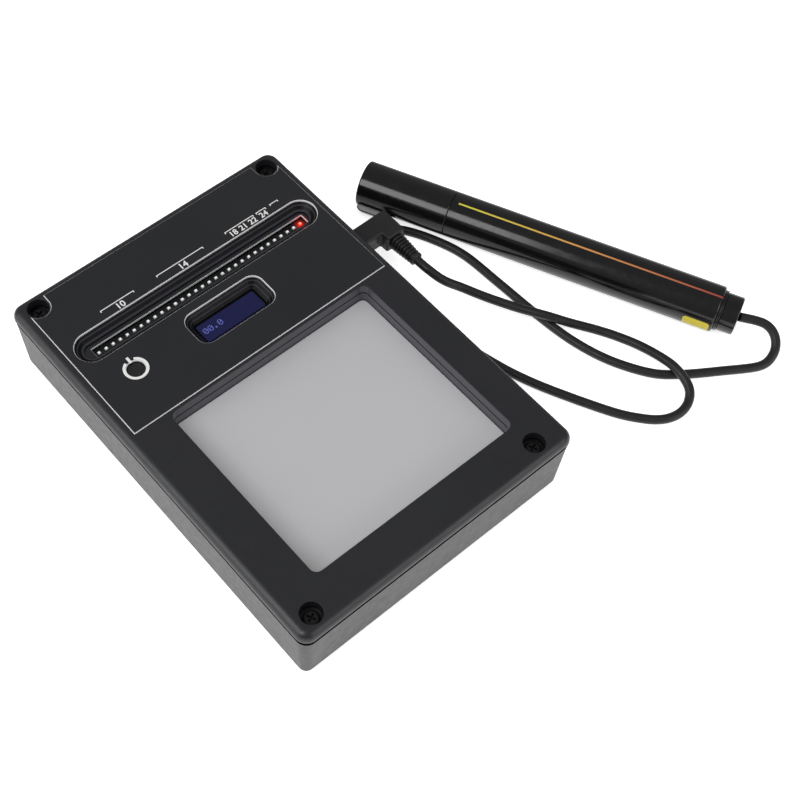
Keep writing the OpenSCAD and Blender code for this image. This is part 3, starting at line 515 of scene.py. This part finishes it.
def even_shading(mesh, crease):
    """Corner normals led by the larger flat regions, so that thin triangles leave no marks."""
    whole = bmesh.new()
    whole.from_mesh(mesh)
    region, ways = flat_regions(whole)
    limit = math.cos(math.radians(crease))
    for edge in whole.edges:
        linked = edge.link_faces
        edge.smooth = len(linked) == 2 and linked[0].normal.dot(linked[1].normal) > limit
    corner = {}
    for face in whole.faces:
        face.smooth = True
        for loop in face.loops:
            corner[face, loop.vert] = len(corner)
    normals = [Vector((0, 0, 1))] * len(corner)
    for vert in whole.verts:
        left = set(vert.link_faces)
        while left:
            fan = fan_about(vert, left)
            way = sum((ways[k] for k in {region[face] for face in fan}), Vector())
            for face in fan:
                normals[corner[face, vert]] = way.normalized()
    whole.to_mesh(mesh)
    whole.free()
    mesh.normals_split_custom_set(normals)


def shown(mesh, name, material, body, node_names, crease=30):
    """Puts a finished mesh into the scene, on its body and in the place of its CAD nodes."""
    whole = bmesh.new()
    whole.from_mesh(mesh)
    bmesh.ops.recalc_face_normals(whole, faces=whole.faces)
    whole.to_mesh(mesh)
    whole.free()
    even_shading(mesh, crease)
    if not mesh.materials:
        mesh.materials.append(material)
    made = placed(name, mesh)
    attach(made, body)
    if node_names:
        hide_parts(*node_names)
    return made


def written(whole, name):
    """A mesh of what a bmesh holds, which is freed."""
    mesh = bpy.data.meshes.new(name)
    whole.to_mesh(mesh)
    whole.free()
    return mesh


def solid_mesh(name, points, faces):
    """A mesh of points in metres and the faces between them."""
    mesh = bpy.data.meshes.new(name)
    mesh.from_pydata([tuple(p) for p in points], [], faces)
    mesh.validate()
    return mesh


def break_rims(whole, size):
    """Breaks the upper edges of a flat laminate at 45 degrees, where the cutter went."""
    bmesh.ops.dissolve_limit(
        whole, angle_limit=math.radians(0.3), verts=whole.verts, edges=whole.edges
    )
    top = max(v.co.z for v in whole.verts)
    rims = [
        e for e in whole.edges
        if all(top - v.co.z < 1e-6 for v in e.verts) and min(f.normal.z for f in e.link_faces) < 0.5
    ]
    bmesh.ops.bevel(
        whole, geom=rims, offset=size * MM, offset_type="OFFSET", segments=1,
        affect="EDGES", clamp_overlap=False,
    )


def dressed(node, name, material, body, crease=25, rim=None):
    """The CAD solid with its loose triangles joined and its curves shaded as curves."""
    copy = bmesh.new()
    copy.from_mesh(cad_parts[node].data)
    bmesh.ops.remove_doubles(copy, verts=copy.verts, dist=2e-7)
    if rim:
        break_rims(copy, rim)
    mesh = written(copy, name)
    mesh.materials.clear()
    return shown(mesh, name, material, body, [node], crease)


def lathe(profile, matrix, sides=96):
    """A turned mesh from (radius, z) pairs in mm, its z along the matrix's own z."""
    points, faces, rings = [], [], []
    for radius, z in profile:
        if radius < 1e-6:
            rings.append([len(points)])
            points.append(matrix @ Vector((0, 0, z * MM)))
            continue
        rings.append(range(len(points), len(points) + sides))
        for k in range(sides):
            a = 2 * math.pi * k / sides
            points.append(matrix @ (Vector((radius * math.cos(a), radius * math.sin(a), z)) * MM))
    for low, high in zip(rings, rings[1:]):
        for k in range(sides):
            n = (k + 1) % sides
            if len(low) == 1:
                faces.append((low[0], high[n], high[k]))
            elif len(high) == 1:
                faces.append((low[k], low[n], high[0]))
            else:
                faces.append((low[k], low[n], high[n], high[k]))
    return solid_mesh("turned", points, faces)


def arc(radius, z, size, start, end, steps=5):
    """Profile points of a round of that size about (radius, z), angles in degrees."""
    out = []
    for k in range(steps + 1):
        a = math.radians(start + (end - start) * k / steps)
        out.append((radius + size * math.cos(a), z + size * math.sin(a)))
    return out


def joined(meshes, name):
    """One mesh of several."""
    whole = bmesh.new()
    for mesh in meshes:
        whole.from_mesh(mesh)
    return written(whole, name)


def slab(outline, low, high, matrix=None):
    """A plate from an outline of (x, y) in mm, about the case's middle or under a matrix."""
    matrix = matrix or Matrix.Translation(spot(0, 0, 0))
    count = len(outline)
    points = [matrix @ (Vector((x, y, z)) * MM) for z in (low, high) for x, y in outline]
    faces = [tuple(reversed(range(count))), tuple(range(count, 2 * count))]
    faces += [(k, (k + 1) % count, count + (k + 1) % count, count + k) for k in range(count)]
    return solid_mesh("slab", points, faces)


def curve_points(route, steps):
    """The smooth line through the route that part.scad's lead follows."""
    out = []
    for i in range(len(route) - 1):
        a, b = route[max(i - 1, 0)], route[i]
        c, d = route[i + 1], route[min(i + 2, len(route) - 1)]
        for k in range(steps):
            u = k / steps
            out.append(
                0.5 * (2 * b + (c - a) * u + (2 * a - 5 * b + 4 * c - d) * u * u
                       + (3 * b - a - 3 * c + d) * u * u * u)
            )
    out.append(route[-1])
    for point in out:
        point.z = max(point.z, LIE * MM)
    return out


def tube(points, radius, sides, start_way, end_way):
    """A closed round tube along points, with rings that turn as little as they can."""
    ways = [(high - low).normalized() for low, high in zip(points, points[2:])]
    ways = [start_way, *ways, end_way]
    side = ways[0].cross(Vector((0, 0, 1))).normalized()
    rings, faces = [], []
    for point, way in zip(points, ways):
        side = (side - way * side.dot(way)).normalized()
        up = side.cross(way)
        for s in range(sides):
            a = 2 * math.pi * s / sides
            rings.append(point + radius * (side * math.cos(a) + up * math.sin(a)))
    for k in range(len(points) - 1):
        base = k * sides
        for s in range(sides):
            n = (s + 1) % sides
            faces.append((base + s, base + n, base + sides + n, base + sides + s))
    faces.append(tuple(reversed(range(sides))))
    faces.append(tuple(range((len(points) - 1) * sides, len(points) * sides)))
    return solid_mesh("tube", rings, faces)


# ---- lead ----

CORD_D = 3.2
PEN_AT = Vector((81.6, 55.5, 8.2))
PEN_TURN = math.radians(-64.56)
PEN_L = 139
PEN_R = 8.2
PEN_WAY = Vector((math.cos(PEN_TURN), math.sin(PEN_TURN), 0))
ELBOW_X, ELBOW_Y, ELBOW_Z = 69.4, 32.2, 14.5
PLUG_HALF, RELIEF_L = 3.9, 11.0
RELIEF_Y = ELBOW_Y - PLUG_HALF - 3.4
LIE = CORD_D / 2
CROSS = 1.6 * CORD_D

# The cord's middle line, in mm. It lies on the table at LIE and crosses itself at CROSS.
ROUTE = [
    (ELBOW_X, RELIEF_Y - RELIEF_L, ELBOW_Z),
    (69.9, 8.6, 14), (72.5, 3.4, 11.2), (77.5, -1.5, 7.6), (82, -8.5, 5.8),
    (87.5, -18, CROSS), (93, -27, CROSS), (98.5, -33.5, 3), (105, -42, LIE),
    (110, -53, 2), (111.3, -64, 4.4), (111.2, -71, CROSS), (109.9, -77.5, 3.8),
    (106.4, -80.9, 2.2), (101.2, -81.8, LIE), (95.5, -80, LIE), (90, -75, LIE),
    (83.5, -65.5, LIE), (72.5, -43, LIE), (67, -26, LIE), (63.3, -6.2, LIE),
    (60.5, 13.7, LIE), (63.9, 30, LIE), (67.9, 37.9, LIE), (74.4, 39.6, LIE),
    (81.2, 34.7, LIE), (87, 24.5, LIE), (91, 12, LIE), (92, -4.5, LIE), (92.8, -22, LIE),
    (94.5, -38, LIE), (98.5, -52, LIE), (105.5, -64.5, LIE), (113, -71.5, LIE),
    (124.5, -79.2, LIE), (136.1, -86.2, LIE), (142.6, -86.3, 3.1), (146.5, -82.7, 5.6),
    (146.4, -77.4, 7.6),
    tuple(PEN_AT + PEN_WAY * PEN_L),
]


def make_lead():
    """The cord from the strain relief to the probe, with its middle line and its length."""
    route = [spot(*p) for p in ROUTE]
    line = curve_points(route, 8)
    mesh = tube(line, LIE * MM, 20, Vector((0, -1, 0)), PEN_WAY)
    cord = shown(mesh, "lead_cord", JACKET, "lead", ["cord"], 40)
    length = sum((b - a).length for a, b in zip(line, line[1:]))
    return cord, line, length


cord_piece, cord_line, cord_length = make_lead()


# ---- repeated pieces, laid out by Geometry Nodes ----


def row_tree():
    """A tree that repeats one unit along a step, growing or shrinking to an end size."""
    tree = bpy.data.node_groups.new("row_of_units", "GeometryNodeTree")
    inputs = {
        "Unit": "Object",
        "Count": "Int",
        "Start": "Vector",
        "Step": "Vector",
        "End size": "Float",
        "Surface": "Material",
    }
    for name, kind in inputs.items():
        tree.interface.new_socket(name, in_out="INPUT", socket_type="NodeSocket" + kind)
    tree.interface.new_socket("Geometry", in_out="OUTPUT", socket_type="NodeSocketGeometry")
    new, link = tree.nodes.new, tree.links.new
    given, result = new("NodeGroupInput"), new("NodeGroupOutput")
    line = new("GeometryNodeMeshLine")
    link(given.outputs["Count"], line.inputs["Count"])
    link(given.outputs["Start"], line.inputs["Start Location"])
    link(given.outputs["Step"], line.inputs["Offset"])
    unit = new("GeometryNodeObjectInfo")
    link(given.outputs["Unit"], unit.inputs["Object"])
    place = new("GeometryNodeInstanceOnPoints")
    link(line.outputs["Mesh"], place.inputs["Points"])
    link(unit.outputs["Geometry"], place.inputs["Instance"])
    last = new("ShaderNodeMath")
    last.operation = "SUBTRACT"
    link(given.outputs["Count"], last.inputs[0])
    last.inputs[1].default_value = 1
    size = new("ShaderNodeMapRange")
    link(new("GeometryNodeInputIndex").outputs["Index"], size.inputs["Value"])
    link(last.outputs[0], size.inputs["From Max"])
    size.inputs["To Min"].default_value = 1
    link(given.outputs["End size"], size.inputs["To Max"])
    link(size.outputs["Result"], place.inputs["Scale"])
    real = new("GeometryNodeRealizeInstances")
    link(place.outputs["Instances"], real.inputs["Geometry"])
    paint = new("GeometryNodeSetMaterial")
    link(real.outputs["Geometry"], paint.inputs["Geometry"])
    link(given.outputs["Surface"], paint.inputs["Material"])
    link(paint.outputs["Geometry"], result.inputs["Geometry"])
    return tree


ROW = row_tree()


def row_mesh(unit_mesh, count, start, step, material, end_size=1.0):
    """The plain mesh that the row tree makes from a unit drawn about its own middle."""
    unit = placed("unit", unit_mesh)
    carrier = placed("carrier", bpy.data.meshes.new("carrier"))
    row = carrier.modifiers.new("row", "NODES")
    row.node_group = ROW
    values = {
        "Unit": unit,
        "Count": count,
        "Start": start,
        "Step": step,
        "End size": end_size,
        "Surface": material,
    }
    for socket in ROW.interface.items_tree:
        if socket.in_out == "INPUT":
            row[socket.identifier] = values[socket.name]
    return settled(carrier, unit)


# ---- case ----

SCREWS_AT = ((-46.4, 68.8), (47.4, 68.8), (-46.4, -68.8), (41.9, -68.8))


def dress_case():
    """The mouldings, door, feet and laminates, as the CAD has them."""
    dressed("base_shell", "base_moulding", BASE, "case")
    dressed("lid", "lid_moulding", CASE, "case")
    dressed("battery_door", "battery_cover", BASE, "door")
    dressed("rubber_feet", "round_feet", FOOT, "case")
    dressed("faced_panel", "faced_plate", LAMINATE, "case", 30, rim=0.26)
    dressed("slot_strip", "slotted_strip", STRIP, "case", 30, rim=0.12)


dress_case()


def cross_cutter(at):
    """Two bars across each other, where the screwdriver's recess goes."""
    whole = bmesh.new()
    size = Matrix.Diagonal((3.0 * MM, 0.62 * MM, 1.6 * MM, 1))
    for turn in (0.4, 0.4 + math.pi / 2):
        made = bmesh.ops.create_cube(whole, size=1)
        where = at @ Matrix.Translation((0, 0, 26.0 * MM)) @ Matrix.Rotation(turn, 4, "Z")
        bmesh.ops.transform(whole, matrix=where @ size, verts=made["verts"])
    return written(whole, "cross")


def screw_mesh(x, y):
    """A pan-head screw with a cross recess, seen down its well."""
    tip, head_low, side_high, top = 12.5, 24.5, 25.3, 26.4
    head_r, round_r, shank_r = 2.8, 1.1, 1.25
    profile = [(0, tip), (0.5, tip), (shank_r, tip + 1.1), (shank_r, head_low)]
    profile += [(head_r, head_low), (head_r, side_high)]
    profile += arc(head_r - round_r, side_high, round_r, 0, 90)
    profile += [(1.2, top), (0, top + 0.02)]
    at = Matrix.Translation(spot(x, y, 0))
    screw = placed("screw", lathe(profile, at, 40))
    cutter = placed("cross_cutter", cross_cutter(at))
    recess = screw.modifiers.new("recess", "BOOLEAN")
    recess.object = cutter
    recess.operation = "DIFFERENCE"
    recess.solver = "EXACT"
    recess.use_self = True
    return settled(screw, cutter)


def make_screws():
    """The four screws that hold the lid."""
    whole = joined([screw_mesh(x, y) for x, y in SCREWS_AT], "screws")
    shown(whole, "case_screws", BLACK_SCREW, "case", ["lid_screws"])


make_screws()


# ---- lamp scale ----


def lamp_unit():
    """A lamp's white body: a chamfered block about its own middle, standing on z 0."""
    side, height, chamfer = 1.1 * MM, 0.62 * MM, 0.08 * MM
    whole = bmesh.new()
    made = bmesh.ops.create_cube(whole, size=1)
    block = Matrix.Translation((0, 0, height / 2)) @ Matrix.Diagonal((side, side, height, 1))
    bmesh.ops.transform(whole, matrix=block, verts=made["verts"])
    bmesh.ops.bevel(whole, geom=whole.edges[:], offset=chamfer, segments=1, affect="EDGES")
    return written(whole, "lamp_unit")


def lens_unit():
    """The round lens on a lamp's body, about its own middle."""
    low, side_high, radius, round_r = 0.55, 0.68, 0.44, 0.12
    profile = [(0, low), (radius, low)]
    profile += arc(radius - round_r, side_high, round_r, 0, 90, 3)
    profile += [(0, side_high + round_r)]
    return lathe(profile, Matrix.Identity(4), 16)


def make_lamps():
    """The row of plain lamps, and the lit one that ends it."""
    first = spot(SCALE_X - SCALE_REACH, SCALE_Y, LAMP_LOW)
    step = Vector((LAMP_PITCH * MM, 0, 0))
    last = first + step * (LAMPS - 1)
    rows = (
        ("lamp_bodies", lamp_unit, LAMPS - 1, first, LAMP_BODY, ["lamps"]),
        ("lamp_lenses", lens_unit, LAMPS - 1, first, PAINTED_GLOW_LENS, ()),
        ("lamp_lit_body", lamp_unit, 1, last, LAMP_HOT, ()),
        ("lamp_lit", lens_unit, 1, last, LAMP_RED, ()),
    )
    for name, unit, count, start, surface, node_names in rows:
        row = row_mesh(unit(), count, start, step, surface)
        shown(row, name, surface, "case", node_names)


make_lamps()


# ---- panel markings ----

MARK_LOW, MARK_HIGH = 29.74, 29.82
BUTTON_X, BUTTON_Y = -35.8, 30.0


def bar(x0, x1, y0, y1):
    """A plain rectangle of the white fill."""
    return slab([(x0, y0), (x1, y0), (x1, y1), (x0, y1)], MARK_LOW, MARK_HIGH)


def bracket(x0, x1, y=55.1, tick=0.8, line=0.32):
    """A line over a span of the scale, with a short tick down at each end."""
    outline = [
        (x0, y - tick), (x0 + line, y - tick), (x0 + line, y - line),
        (x1 - line, y - line), (x1 - line, y - tick), (x1, y - tick), (x1, y), (x0, y),
    ]
    return slab(outline, MARK_LOW, MARK_HIGH)


def numeral(text, x, y, size=3.4):
    """A plain number, upright for someone on the tray's side, about x and y."""
    data = bpy.data.curves.new("numeral", "FONT")
    data.body = text
    data.size = size * MM
    data.offset = 0.06 * MM
    data.align_x, data.align_y = "CENTER", "CENTER"
    data.extrude = (MARK_HIGH - MARK_LOW) / 2 * MM
    data.resolution_u = 6
    mesh = settled(placed("numeral", data))
    mesh.materials.clear()
    mesh.transform(Matrix.Translation(spot(x, y, (MARK_LOW + MARK_HIGH) / 2)))
    return mesh


def ring_part(x, y, inner, outer, start, end, steps=48):
    """A part of a flat ring about x and y, from one angle to another in degrees."""
    angles = [math.radians(start + (end - start) * k / steps) for k in range(steps + 1)]
    rim = [(x + outer * math.cos(a), y + outer * math.sin(a)) for a in angles]
    core = [(x + inner * math.cos(a), y + inner * math.sin(a)) for a in reversed(angles)]
    outline = rim + core
    total = len(outline)
    points = [spot(px, py, z) for z in (MARK_LOW, MARK_HIGH) for px, py in outline]
    faces = []
    for k in range(steps):
        a, b, c, d = k, k + 1, total - 2 - k, total - 1 - k
        faces += [(d, c, b, a), (total + a, total + b, total + c, total + d)]
    faces += [(k, (k + 1) % total, total + (k + 1) % total, total + k) for k in range(total)]
    return solid_mesh("ring_part", points, faces)


def make_markings():
    """The scale's brackets and numbers, and the open ring round the start button."""
    half_gap, half_line = 24, 0.45
    meshes = [
        bracket(-31.9, -18.7), bracket(-9.6, 9.5), bracket(18.6, 30.7),
        bracket(31.8, 36.0), bracket(37.7, 41.2),
        numeral("10", -25.2, 52.9), numeral("14", 0, 52.9),
        numeral("18", 21.0, 53.0, 3.1), numeral("21", 25.2, 53.0, 3.1),
        numeral("22", 29.2, 53.0, 3.1), numeral("24", 33.8, 53.0, 3.1),
        ring_part(BUTTON_X, BUTTON_Y, 3.3, 4.2, 90 + half_gap, 450 - half_gap),
        bar(BUTTON_X - half_line, BUTTON_X + half_line, BUTTON_Y + 2.6, BUTTON_Y + 5.1),
    ]
    shown(joined(meshes, "markings"), "panel_markings", INK, "case", (), 40)


make_markings()


# ---- display ----

DIGIT_ROWS = {
    "0": "01110 10001 10011 10101 11001 10001 01110",
    ".": "00000 00000 00000 00000 00000 01100 01100",
}


def make_display():
    """A row of pale dots on the lit window: plain zeroes, as the tester waits."""
    dot, pitch, low, high = 0.26, 0.32, 25.46, 25.5
    left, top, cell = -9.4, 30.7, 6 * pitch
    meshes = []
    for place, sign in enumerate("00.0"):
        for row, bits in enumerate(DIGIT_ROWS[sign].split()):
            for column, bit in enumerate(bits):
                if bit == "1":
                    x = left + place * cell + column * pitch
                    y = top - row * pitch
                    square = [(x, y), (x + dot, y), (x + dot, y + dot), (x, y + dot)]
                    meshes.append(slab(square, low, high))
    lit = glowing("display_dots", (0.09, 0.11, 0.36), 0.8)
    shown(joined(meshes, "dots"), "display_figures", lit, "case", ())


make_display()


# ---- plug ----


def rounded(name, mesh, width, segments):
    """The mesh with its edges rounded over a width in mm."""
    made = placed(name, mesh)
    rounding = made.modifiers.new("rounding", "BEVEL")
    rounding.width = width * MM
    rounding.segments = segments
    rounding.limit_method = "ANGLE"
    return settled(made)


def plug_body():
    """The L-shaped overmoulding, its edges rounded."""
    left, right, start = ELBOW_X - PLUG_HALF, ELBOW_X + PLUG_HALF, 53.77
    near, far = ELBOW_Y - PLUG_HALF, ELBOW_Y + PLUG_HALF
    outline = [
        (start, near), (left, near), (left, RELIEF_Y),
        (right, RELIEF_Y), (right, far), (start, far),
    ]
    return rounded("plug", slab(outline, ELBOW_Z - PLUG_HALF, ELBOW_Z + PLUG_HALF), 1.0, 4)


def make_plug():
    """The overmoulding with its strain relief: a sleeve and the ribs along it."""
    back = Matrix.Rotation(math.pi / 2, 4, "X")
    profile = [(0, -1), (2.5, -1), (2.3, 0.3), (1.8, 9.4)]
    profile += [(2.45, 9.6), (2.45, 10.5), (1.75, RELIEF_L), (0, RELIEF_L)]
    sleeve = lathe(profile, Matrix.Translation(spot(ELBOW_X, RELIEF_Y, ELBOW_Z)) @ back, 48)
    rib = lathe([(1.9, -0.4)] + arc(2.93, 0, 0.3, -90, 90, 6) + [(1.9, 0.4)], back, 48)
    first = spot(ELBOW_X, RELIEF_Y - 0.9, ELBOW_Z)
    ribs = row_mesh(rib, 7, first, (0, -1.29 * MM, 0), PLUG, 0.8)
    ribs.materials.clear()
    whole = joined([plug_body(), sleeve, ribs], "plug")
    shown(whole, "plug_overmould", PLUG, "lead", ["plug_moulding"], 35)


make_plug()


# ---- probe ----

# Along the probe, places are in mm from the cap's closed end.
PEN = (
    Matrix.Translation(spot(*PEN_AT))
    @ Matrix.Rotation(PEN_TURN, 4, "Z")
    @ Matrix.Rotation(math.pi / 2, 4, "Y")
)
BORE_R = PEN_R - 1.3
CAP_END, BARREL_START, BARREL_END = 33.58, 33.77, 132.2
STRIPE_START, STRIPE_END = 36.2, 132.0


def probe_gloss_with_stripe():
    """The barrel's gloss black with its thin printed stripe, yellow to red."""
    finish = Finish("barrel_gloss", Roughness=0.14)
    back = PEN.inverted()
    where = finish.node("ShaderNodeMapping", vector_type="POINT")
    finish.feed(where.inputs["Vector"], finish.coordinates)
    where.inputs["Location"].default_value = back.to_translation()
    where.inputs["Rotation"].default_value = back.to_euler()
    split = finish.node("ShaderNodeSeparateXYZ")
    finish.feed(split.inputs[0], where.outputs["Vector"])
    down, across, along = split.outputs
    angle = finish.calc("ARCTAN2", finish.times(across, -1), finish.times(down, -1))
    off = finish.calc("ABSOLUTE", finish.calc("SUBTRACT", angle, math.radians(7.6)))
    stripe = finish.times(
        finish.falls(off, math.radians(2.1), math.radians(2.5)),
        finish.rises(along, STRIPE_START * MM, (STRIPE_START + 0.2) * MM),
        finish.falls(along, (STRIPE_END - 0.2) * MM, STRIPE_END * MM),
    )
    ramp = finish.node("ShaderNodeValToRGB")
    finish.feed(ramp.inputs[0], finish.rises(along, 34 * MM, STRIPE_END * MM))
    stops = ramp.color_ramp.elements
    stops[0].color = (0.62, 0.58, 0.06, 1)
    stops[1].color = (0.33, 0.05, 0.045, 1)
    stops.new(0.5).color = (0.6, 0.27, 0.08, 1)
    finish.colour(finish.blend(stripe, gloss_black(finish), ramp.outputs["Color"]))
    return finish.material


def cap_mesh():
    """The cap's shell: a dished, rounded end and a mouth with a broken edge."""
    floor, round_r = 1.6, 0.6
    profile = [(0, 0.25), (5.5, 0), (PEN_R - 0.9, 0)]
    profile += arc(PEN_R - round_r, round_r, round_r, -90, 0)
    profile += [(PEN_R, CAP_END - 0.18), (PEN_R - 0.12, CAP_END - 0.03)]
    profile += [(BORE_R, CAP_END), (BORE_R, floor), (0, floor)]
    return lathe(profile, PEN, 128)


def clip_mesh():
    """The cap's short clip: a rounded tongue that springs from a root at the closed end."""
    half_width, start, end = 2.5, 1.0, 15.0
    sunk, under, crest = PEN_R - 0.6, PEN_R + 0.5, PEN_R + 2.0
    outline = [
        (sunk, start), (crest - 0.9, start), (crest, start + 1.2), (crest, end - 0.8),
        (crest - 0.5, end), (under, end), (under, end - 1.6), (sunk, end - 2.0),
    ]
    turn = Matrix.Rotation(math.radians(-57), 4, "Z") @ Matrix.Rotation(math.pi / 2, 4, "X")
    return rounded("clip", slab(outline, -half_width, half_width, PEN @ turn), 0.45, 3)


def barrel_mesh():
    """The barrel's open tube, its tail end rounded."""
    round_r = 0.9
    profile = [(BORE_R, BARREL_START), (PEN_R - 0.12, BARREL_START)]
    profile += [(PEN_R, BARREL_START + 0.13), (PEN_R, BARREL_END - 1.3)]
    profile += arc(PEN_R - round_r, BARREL_END - round_r, round_r, 0, 90)
    profile += [(BORE_R, BARREL_END), (BORE_R, BARREL_START)]
    return lathe(profile, PEN, 128)


def ring_mesh():
    """The dark ring behind the barrel: two beads side by side."""
    inner, bead_at, bead_r, low = 5.6, 6.95, 0.25, BARREL_END + 0.02
    profile = [(inner, low), (bead_at - 0.05, low)]
    for middle in (low + 0.26, low + 0.88):
        profile += arc(bead_at, middle, bead_r, -90, 90)
    profile += [(inner, low + 1.14), (inner, low)]
    return lathe(profile, PEN, 96)


def tail_mesh():
    """The plug that closes the barrel: a spigot, a neck under the ring, and a round end."""
    spigot_r, neck_r, end_r, round_r = 6.88, 5.48, 6.7, 0.6
    start, shoulder, end = 118.2, 133.4, PEN_L
    profile = [(0, start), (spigot_r, start), (spigot_r, BARREL_END - 0.02)]
    profile += [(neck_r, BARREL_END - 0.02), (neck_r, shoulder), (end_r - 0.2, shoulder)]
    profile += [(end_r, shoulder + 0.2), (end_r, end - round_r)]
    profile += arc(end_r - round_r, end - round_r, round_r, 0, 90)
    profile += [(2.6, end), (2.1, end - 0.35), (0, end - 0.35)]
    return lathe(profile, PEN, 96)


def make_probe():
    """The cap, which comes off, and the barrel with its ring and tail."""
    cap = joined([cap_mesh(), clip_mesh()], "cap")
    shown(cap, "probe_cap", GLOSS, "cap", ["pen_cap"])
    striped = probe_gloss_with_stripe()
    shown(barrel_mesh(), "probe_barrel", striped, "lead", ["pen_barrel"])
    shown(ring_mesh(), "probe_ring", RING, "lead", ["pen_ring"])
    shown(tail_mesh(), "probe_tail", GLOSS, "lead", ["pen_tail"])


make_probe()


def make_sticker():
    """A small plain label on the barrel, a curved patch with rounded corners."""
    low, high, round_r = 121.8, 131.0, 1.2
    middle, half = math.radians(99.5), math.radians(16.5)
    steps = 16
    points, faces = [], []
    for layer in (PEN_R - 0.02, PEN_R + 0.05):
        for i in range(steps + 1):
            u = i / steps
            z = low + (high - low) * u
            into_corner = max(0, 1 - min(u, 1 - u) * (high - low) / round_r)
            reach = half * (1 - 0.28 * (1 - math.sqrt(1 - into_corner * into_corner)))
            for j in range(steps + 1):
                a = middle + reach * (2 * j / steps - 1)
                points.append(PEN @ (Vector((-layer * math.cos(a), -layer * math.sin(a), z)) * MM))
    row = steps + 1
    size = row * row
    for i in range(steps):
        for j in range(steps):
            a = i * row + j
            faces.append((a, a + 1, a + row + 1, a + row))
            faces.append((size + a, size + a + row, size + a + row + 1, size + a + 1))
    rim = list(range(row)) + [i * row + steps for i in range(1, row)]
    rim += [steps * row + j for j in reversed(range(steps))]
    rim += [i * row for i in reversed(range(1, steps))]
    faces += [(a, b, size + b, size + a) for a, b in zip(rim, rim[1:] + rim[:1])]
    patch = solid_mesh("sticker", points, faces)
    shown(patch, "probe_sticker", STICKER, "lead", (), 50)


make_sticker()


# ---- the CAD solids that stay get their surfaces ----

KEPT = {
    "test_plate": PLATE,
    "start_button": BUTTON,
    "display_glass": display_filter("display_filter"),
    "front_board": BOARD,
    "main_board": BOARD,
    "board_parts": PARTS,
    "board_link": PARTS,
    "tact_switch": PARTS,
    "switch_plunger": PARTS,
    "battery_snap": PARTS,
    "probe_socket": PARTS,
    "battery": CAN,
    "front_board_screws": ZINC,
    "main_board_screws": ZINC,
    "plate_contact": SPRING,
    "plug_pin": NICKEL,
    "electrode": NICKEL,
    "pen_nose": GRIP,
    "felt_tip": FELT,
    "gel_tube": FELT,
}

for node, surface in KEPT.items():
    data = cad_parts[node].data
    data.materials.clear()
    data.materials.append(surface)


# ---- floor and light ----


def make_floor():
    """A white table: brighter to the camera's eye, and dim in reflections far behind."""
    reach = 4.0
    corners = [(-reach, -reach, 0), (reach, -reach, 0), (reach, reach, 0), (-reach, reach, 0)]
    mesh = bpy.data.meshes.new("floor")
    mesh.from_pydata(corners, [], [(0, 1, 2, 3)])
    floor = placed("floor", mesh)
    table = Finish("pale_floor", Roughness=0.9, Specular_IOR_Level=0.1)
    rays = table.node("ShaderNodeLightPath").outputs
    behind = table.calc("ADD", table.times(table.part(0), 0.65), table.times(table.part(1), 0.76))
    near = table.spread(behind, 1, 0.15, 0.02, 0.12)
    dimmed = table.times(rays["Is Glossy Ray"], table.calc("SUBTRACT", 1, near))
    table.colour(table.blend(dimmed, (0.84, 0.84, 0.84), (0.05, 0.05, 0.05)))
    seen = table.times(rays["Is Camera Ray"], 0.7)
    mirrored = table.times(rays["Is Glossy Ray"], near, 0.6)
    table.shader.inputs["Emission Color"].default_value = (1, 1, 1, 1)
    table.feed(table.shader.inputs["Emission Strength"], table.calc("ADD", seen, mirrored))
    mesh.materials.append(table.material)


def make_lamp(name, at, target, size, brightness, along=None):
    """A soft panel, size in metres, that faces its target with its width along a way."""
    data = bpy.data.lights.new(name, "AREA")
    data.shape = "RECTANGLE"
    data.size, data.size_y = size
    data.energy = brightness * math.pi * size[0] * size[1]
    lamp = placed(name, data)
    back = (Vector(at) - Vector(target)).normalized()
    across = along or Vector((0, 0, 1)).cross(back)
    right = (across - back * across.dot(back)).normalized()
    turn = Matrix((right, back.cross(right), back)).transposed().to_4x4()
    lamp.matrix_world = Matrix.Translation(at) @ turn
    return lamp


def make_world():
    """White to the camera's eye, and dim to everything else."""
    world = bpy.data.worlds.new("studio")
    bpy.context.scene.world = world
    world.use_nodes = True
    tree = world.node_tree
    dim = tree.nodes["Background"]
    white = tree.nodes.new("ShaderNodeBackground")
    for background, strength in ((dim, 0.3), (white, 1)):
        background.inputs["Color"].default_value = (1, 1, 1, 1)
        background.inputs["Strength"].default_value = strength
    path = tree.nodes.new("ShaderNodeLightPath")
    mix = tree.nodes.new("ShaderNodeMixShader")
    tree.links.new(path.outputs["Is Camera Ray"], mix.inputs[0])
    tree.links.new(dim.outputs[0], mix.inputs[1])
    tree.links.new(white.outputs[0], mix.inputs[2])
    tree.links.new(mix.outputs[0], tree.nodes["World Output"].inputs["Surface"])


def make_light():
    """The soft panels about the case, and the small glow over the lit lamp."""
    probe = spot(90, 37, 15)
    over = probe + Vector((-0.70, 0.03, 0.72)) + PEN_WAY * 0.07
    make_lamp("strip_over_case", over, probe + PEN_WAY * 0.03, (0.38, 0.5), 4.6, PEN_WAY)
    make_lamp("soft_left", (-0.95, 0.43, 0.5), (-0.05, 0, 0), (0.6, 0.7), 2.4)
    make_lamp("soft_front", (0.31, -0.95, 0.5), (0, -0.05, 0), (0.5, 0.7), 2.1)
    glow = bpy.data.lights.new("lamp_glow", "POINT")
    glow.color = (1, 0.06, 0.03)
    glow.energy = 0.00006
    glow.shadow_soft_size = 0.3 * MM
    placed("lamp_glow", glow).location = spot(*LIT_AT, LAMP_LOW + 3.2)
    fill = make_lamp("fill_above", (-0.15, -0.25, 1.3), (-0.02, 0, 0), (0.8, 0.8), 3.4)
    fill.visible_glossy = False


make_floor()
make_world()
make_light()
bpy.context.scene.view_settings.view_transform = "Standard"
